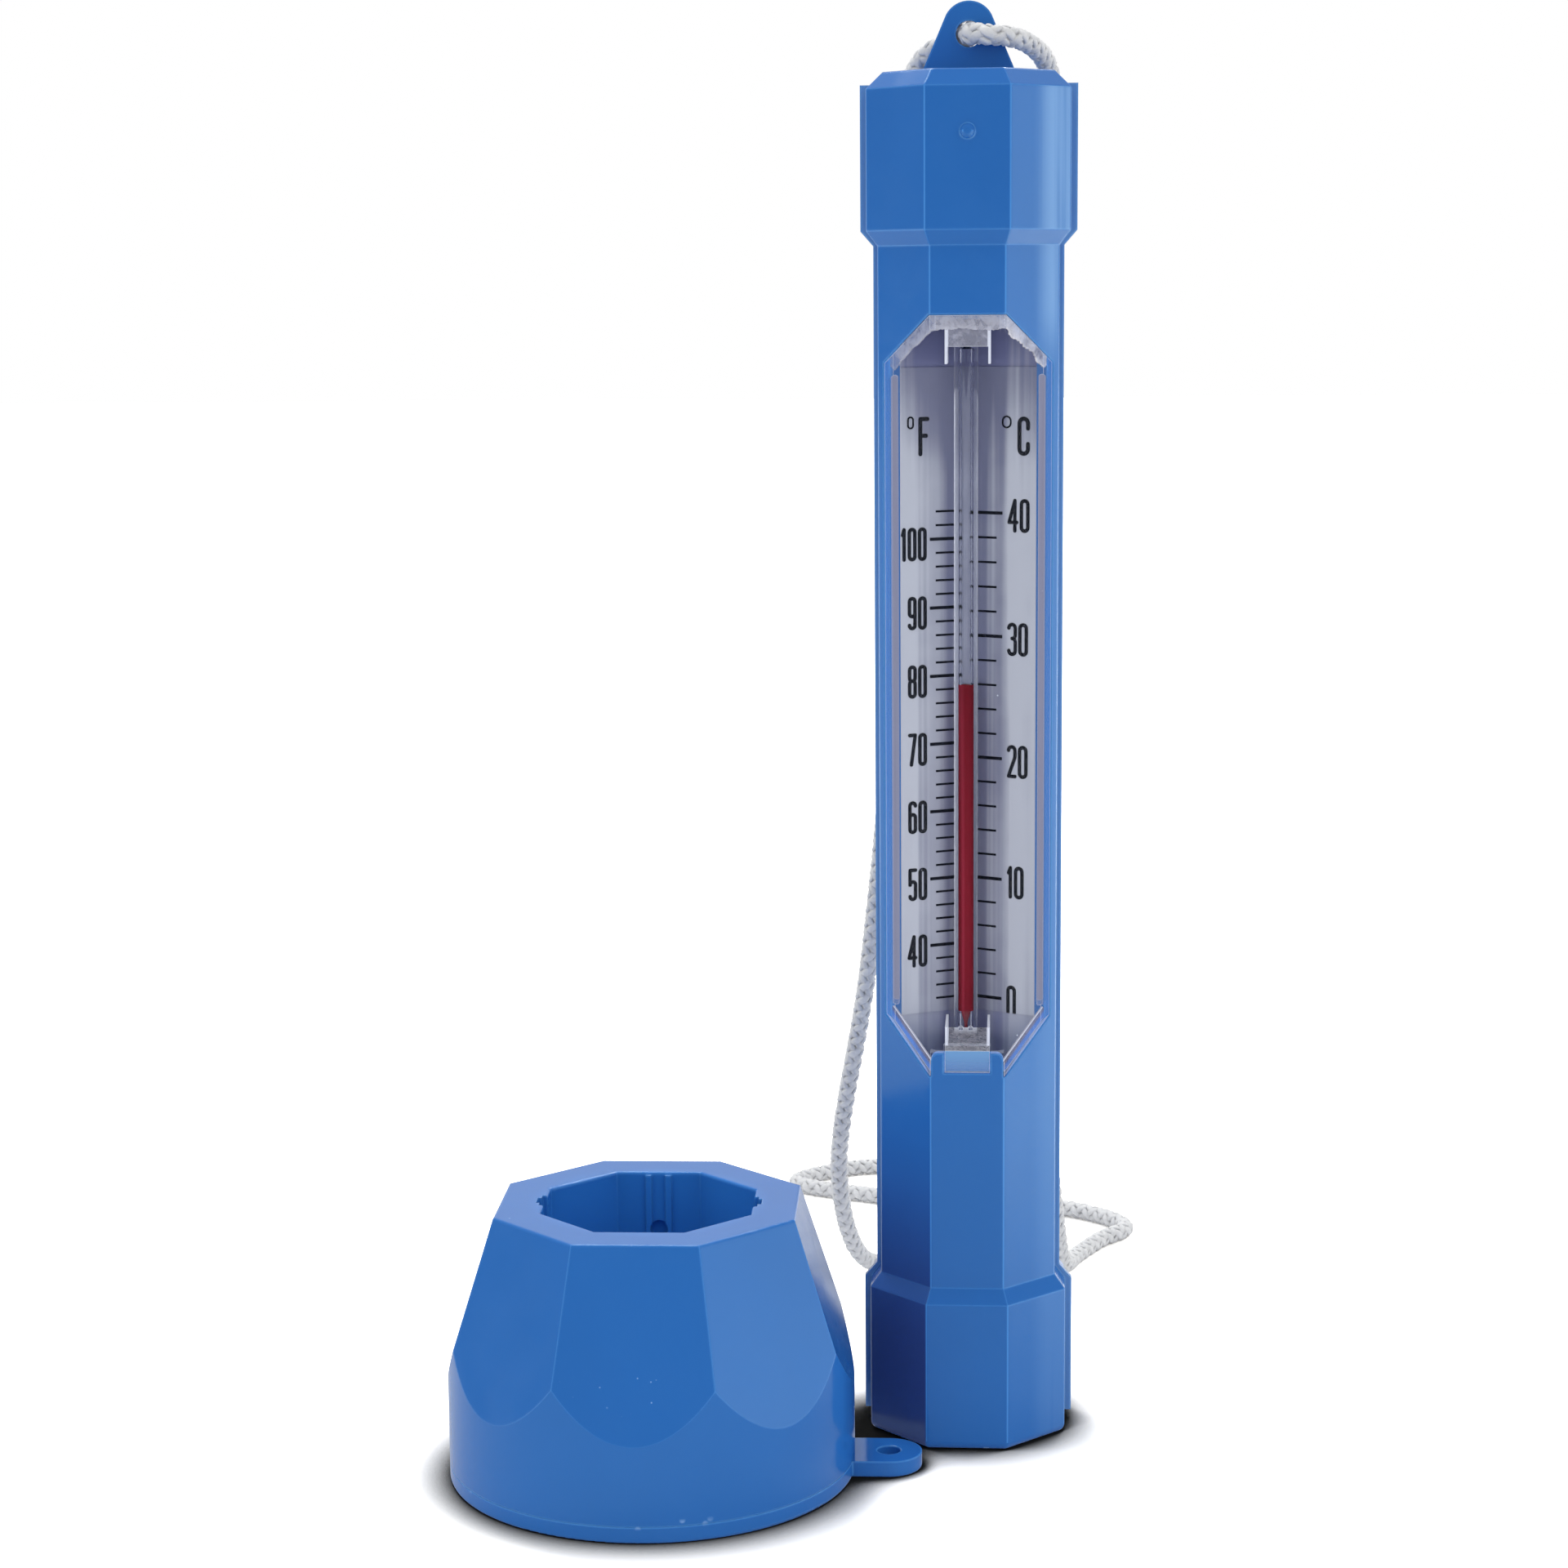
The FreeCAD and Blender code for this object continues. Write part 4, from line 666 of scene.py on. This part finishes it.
def carried_frames(points):
    """Two directions across the cord at every station, carried along without twist and closed evenly."""
    ahead = unit(np.roll(points, -1, axis=0) - np.roll(points, 1, axis=0))
    across = [unit(np.cross(ahead[0], (1.0, 0.0, 0.0)))]
    for direction in (*ahead[1:], ahead[0]):
        across.append(unit(across[-1] - direction * np.dot(across[-1], direction)))
    beside = np.cross(ahead[0], across[0])
    slip = math.atan2(np.dot(across[-1], beside), np.dot(across[-1], across[0]))
    turn = -slip * np.arange(len(points))[:, None] / len(points)
    u = np.array(across[:-1])
    u = u * np.cos(turn) + np.cross(ahead, u) * np.sin(turn)
    return u, np.cross(ahead, u)


CORD_STEP, CORD_PITCH, CORD_RADIUS = 0.42, 10.0, 1.5
CORE, CORE_SIDES = 0.98, 8
STRAND_REACH, STRAND_WAVE = 1.02, 0.15
STRAND_WIDE, STRAND_THICK, STRAND_SIDES, STRANDS_PER_HAND = 0.74, 0.34, 6, 4
HOLE_RADIUS, HOLE_LONG = 1.75, 2.5


def cord():
    """Eight flat strands braided round a core, four each way. The cord fills the tab's hole."""
    points, length = smooth_loop(BIGHT + TAIL[::-1], CORD_STEP)
    u, v = carried_frames(points)
    stations = len(points)
    run = np.linspace(0, math.tau * round(length / CORD_PITCH), stations, endpoint=False)
    from_hole = np.linalg.norm(points - (0, 0, HOLE), axis=1)
    fullness = 1 + (HOLE_RADIUS / CORD_RADIUS - 1) * np.exp(-((from_hole / HOLE_LONG) ** 2))
    sheets, faces = [], []

    def tube(rings):
        """Rings are one (angle round the cord, distance from its middle) pair per side, for all stations."""
        start = sum(sheet.shape[0] for sheet in sheets)
        angle, out = (np.stack(part, axis=1) for part in zip(*rings))
        wide = (out * fullness[:, None])[..., None]
        outward = u[:, None] * np.cos(angle)[..., None] + v[:, None] * np.sin(angle)[..., None]
        place = points[:, None] + outward * wide
        sheets.append(np.concatenate([place.reshape(-1, 3), out.reshape(-1, 1)], axis=1))
        quads = tube_faces(stations, len(rings), closed=True)
        faces.extend(tuple(start + corner for corner in quad) for quad in quads)

    even = np.ones(stations)
    tube([(even * math.tau * side / CORE_SIDES, even * CORE) for side in range(CORE_SIDES)])
    for hand in (1, -1):
        for strand in range(STRANDS_PER_HAND):
            swell = 1 + 0.06 * np.sin(run * 0.37 + strand * 1.7 + hand)
            middle = hand * run + strand * math.tau / STRANDS_PER_HAND + 0.05 * np.sin(run * 0.23 + strand)
            reach = STRAND_REACH + hand * STRAND_WAVE * np.cos(STRANDS_PER_HAND * run)
            corners = [math.tau * side / STRAND_SIDES for side in range(STRAND_SIDES)]
            tube([
                (middle + STRAND_WIDE * swell * math.cos(a), reach + STRAND_THICK * swell * math.sin(a))
                for a in corners
            ])
    table = np.vstack(sheets)
    piece = made("braided_cord", table[:, :3].tolist(), faces, cord_yarn("cord_white"))
    keep_values(piece, "relief", (table[:, 3] - CORE) / (STRAND_REACH + STRAND_WAVE + STRAND_THICK - CORE))
    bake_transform(piece)
    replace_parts(piece, "cord_bight", "cord_tail")


# ---------------------------------------------------------------- behind the pane

PANE_INNER = 10.55
CORNER_X, TOP_CORNER_Z, LOW_CORNER_Z = 5.1, 151.8, 61.1
GLUE_END_X, WALL_END_X, WALL_WIDE = 11.2, 11.3, 1.25
STRIP_ALONG, STRIP_OVER, STRIP_THICK = 60, 9, 0.2


def behind_pane(x, depth):
    """y of a layer that lies behind the pane, whose sides slant away at 45 degrees."""
    inner = PANE_INNER - depth
    return -min(inner, inner * math.sqrt(2) - abs(x))


def strip(name, first, last, width, material, lumps=0.0):
    """A layer of glue or wall along one edge of the window. Its width wanders as it runs."""
    direction = Vector((last[0] - first[0], last[1] - first[1]))
    inward = Vector((direction.y, -direction.x)).normalized()
    if inward.y * (first[1] - WINDOW_MIDDLE) > 0:
        inward.negate()
    vertices, values = [], []
    for i in range(STRIP_ALONG + 1):
        t = i / STRIP_ALONG
        wander = 0.5 * math.sin(9 * t + first[0]) + 0.3 * math.sin(23 * t + 1) + random.uniform(-0.3, 0.3)
        reach = width * (1 + lumps * wander)
        for j in range(STRIP_OVER + 1):
            s = j / STRIP_OVER
            x = first[0] + direction.x * t + inward.x * reach * s
            z = first[1] + direction.y * t + inward.y * reach * s
            vertices.append((x, behind_pane(x, STRIP_THICK * (0.7 + lumps * random.random())), z))
            values.append(s)
    row = STRIP_OVER + 1
    faces = [
        (i * row + j, i * row + j + 1, (i + 1) * row + j + 1, (i + 1) * row + j)
        for i in range(STRIP_ALONG) for j in range(STRIP_OVER)
    ]
    piece = made(name, vertices, faces, material)
    keep_values(piece, "across", values)
    solid = piece.modifiers.new("thickness", "SOLIDIFY")
    solid.thickness = STRIP_THICK * MM
    solid.offset = 0
    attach(piece, "thermometer")
    return piece


def window_edges():
    """Glue along the top edge and the upper corners, clear walls under the lower corners."""
    glowing_haze = dried_adhesive("glue_haze", 0.6, (0.5, 0.5, 0.55))
    cream = dried_adhesive("glue_cream", 0.95, (0.68, 0.66, 0.66))
    for name, first, last, width, material, lumps in (
        ("glue_top", (-CORNER_X, WINDOW_HIGH), (CORNER_X, WINDOW_HIGH), 1.9, glowing_haze, 0.12),
        ("glue_left", (-GLUE_END_X, TOP_CORNER_Z), (-CORNER_X, WINDOW_HIGH), 1.5, glowing_haze, 0.12),
        ("glue_right", (CORNER_X, WINDOW_HIGH), (GLUE_END_X, TOP_CORNER_Z), 1.25, cream, 0.3),
    ):
        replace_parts(strip(name, first, last, width, material, lumps), "window_adhesive")
    wall = wall_clear("wall_clear")
    for name, hand in (("wall_left", -1), ("wall_right", 1)):
        first, last = (hand * CORNER_X, WINDOW_LOW), (hand * WALL_END_X, LOW_CORNER_Z)
        strip(name, first, last, WALL_WIDE, wall)


spirit()
cord()
window_edges()


# ---------------------------------------------------------------- stage

FLOOR_HALF = 4.0
SHADOW_REACH, SHADOW_ENDS_Y = 15, (25, 40)


def floor():
    """A plain pale floor.

    The camera sees it white with a soft contact shadow. Gloss mirrors it brighter on the right.
    """
    corners = [(x * FLOOR_HALF, y * FLOOR_HALF, 0) for x, y in ((-1, -1), (1, -1), (1, 1), (-1, 1))]
    mesh = bpy.data.meshes.new("floor")
    mesh.from_pydata(corners, [], [(0, 1, 2, 3)])
    plane = bpy.data.objects.new("floor", mesh)
    bpy.context.scene.collection.objects.link(plane)
    g = graph("floor_white")
    paper = g.mix(g.noise(30, 2), (0.8, 0.8, 0.805), (0.82, 0.82, 0.825))
    path = g.add("LightPath")
    across, away = g.axes(g.place())[:2]
    open_sky = g.add("AmbientOcclusion", {"Distance": SHADOW_REACH * MM}, samples=24).outputs["AO"]
    open_sky = g.math("MAXIMUM", g.ramp(open_sky, 0.48, 0.96), g.over(away, SHADOW_ENDS_Y))
    seen = g.mix(open_sky, (0.015, 0.015, 0.014), (2.05, 2.0, 1.9))
    shade = g.mix(path.outputs["Is Camera Ray"], paper, seen)
    card_side = g.mix(g.ramp(across, -0.01, 0.22), (0.6, 0.6, 0.6), (2.1, 2.1, 2.1))
    card_side = g.mix(g.ramp(across, -0.12, -0.4), card_side, (1.4, 1.4, 1.4))
    shade = g.mix(path.outputs["Is Glossy Ray"], shade, card_side)
    mesh.materials.append(g.surface(g.add("BsdfDiffuse", {"Color": shade}).outputs[0]))


# Soft light patches: which way they lie, cosine at their edge, cosine where they are full, strength.
LIGHTS = (
    ((0, 0, 1), 0.0, 0.9, 0.3),
    ((-1, -0.1, 0.1), 0.2, 0.95, 0.55),
    ((1, -0.2, 0.1), 0.2, 0.95, 0.7),
)
MIRRORED = (
    ((0, 0.2, 1), 0.2, 0.9, 0.12),
    ((0, 1, 0.25), 0.3, 0.95, 0.5),
    ((1, -0.05, -0.25), 0.75, 0.97, 1.6),
)


def glow(g, way, towards, edge, full, strength):
    """A soft light patch of the surroundings."""
    facing = g.add("VectorMath", {0: way, 1: Vector(towards).normalized()}, operation="DOT_PRODUCT")
    return g.ramp(facing.outputs["Value"], edge, full, 0.0, strength)


def studio_world():
    """Soft surroundings. What gloss mirrors differs from what lights the object, as cards in a studio do."""
    world = bpy.data.worlds.new("studio")
    bpy.context.scene.world = world
    g = Graph(world)
    way = g.add("TexCoord").outputs["Generated"]
    lights = g.plus(*(glow(g, way, *patch) for patch in LIGHTS), 0.5)
    mirrored = g.plus(*(glow(g, way, *patch) for patch in MIRRORED), 0.22)
    path = g.add("LightPath")
    sky = g.add("Background", {"Color": (0.97, 0.985, 1.0), "Strength": lights}).outputs[0]
    gloss = g.add("Background", {"Color": (1, 1, 1), "Strength": mirrored}).outputs[0]
    seen = g.add("Background", {"Color": (1, 1, 1)}).outputs[0]
    unseen = g.blend(path.outputs["Is Glossy Ray"], sky, gloss)
    g.add("OutputWorld", {"Surface": g.blend(path.outputs["Is Camera Ray"], unseen, seen)})


def softbox(name, place, aim, size, power, diffuse=True):
    """A round area light."""
    light = bpy.data.lights.new(name, "AREA")
    light.shape = "DISK"
    light.size = size
    light.energy = power
    lamp = bpy.data.objects.new(name, light)
    lamp.location = place
    lamp.rotation_euler = (Vector(aim) - Vector(place)).to_track_quat("-Z", "Y").to_euler()
    lamp.visible_diffuse = diffuse
    bpy.context.scene.collection.objects.link(lamp)


EYE = (5.5, -443.4, 162.9)
EYE_PITCH, EYE_YAW, EYE_ROLL = 8.97, -4.06, -0.49
SENSOR_WIDTH, FOCAL_LENGTH = 36, 73.24


def camera():
    """Where the photographer stood: in front, a little above the middle of the tube, slightly tilted."""
    place = Vector(EYE) * MM
    pitch, yaw, roll = (math.radians(angle) for angle in (EYE_PITCH, EYE_YAW, EYE_ROLL))
    forward = Vector((math.cos(pitch) * math.sin(yaw), math.cos(pitch) * math.cos(yaw), -math.sin(pitch)))
    level_right = forward.cross(Vector((0, 0, 1))).normalized()
    level_up = level_right.cross(forward)
    right = level_right * math.cos(roll) + level_up * math.sin(roll)
    up = level_up * math.cos(roll) - level_right * math.sin(roll)
    lens = bpy.data.cameras.new("camera")
    lens.sensor_width = SENSOR_WIDTH
    lens.lens = FOCAL_LENGTH
    lens.clip_start = 0.01
    eye = bpy.data.objects.new("camera", lens)
    eye.matrix_world = Matrix((
        (right.x, up.x, -forward.x, place.x),
        (right.y, up.y, -forward.y, place.y),
        (right.z, up.z, -forward.z, place.z),
        (0, 0, 0, 1),
    ))
    bpy.context.scene.collection.objects.link(eye)
    bpy.context.scene.camera = eye


floor()
studio_world()
softbox("key", place=(-0.25, 0.45, 0.9), aim=(0, 0, 0.03), size=0.35, power=4)
softbox("glint", place=(0.1, 0.35, 0.5), aim=(-0.03, 0, 0.05), size=0.05, power=0.35, diffuse=False)
camera()
bpy.context.scene.view_settings.view_transform = "Standard"
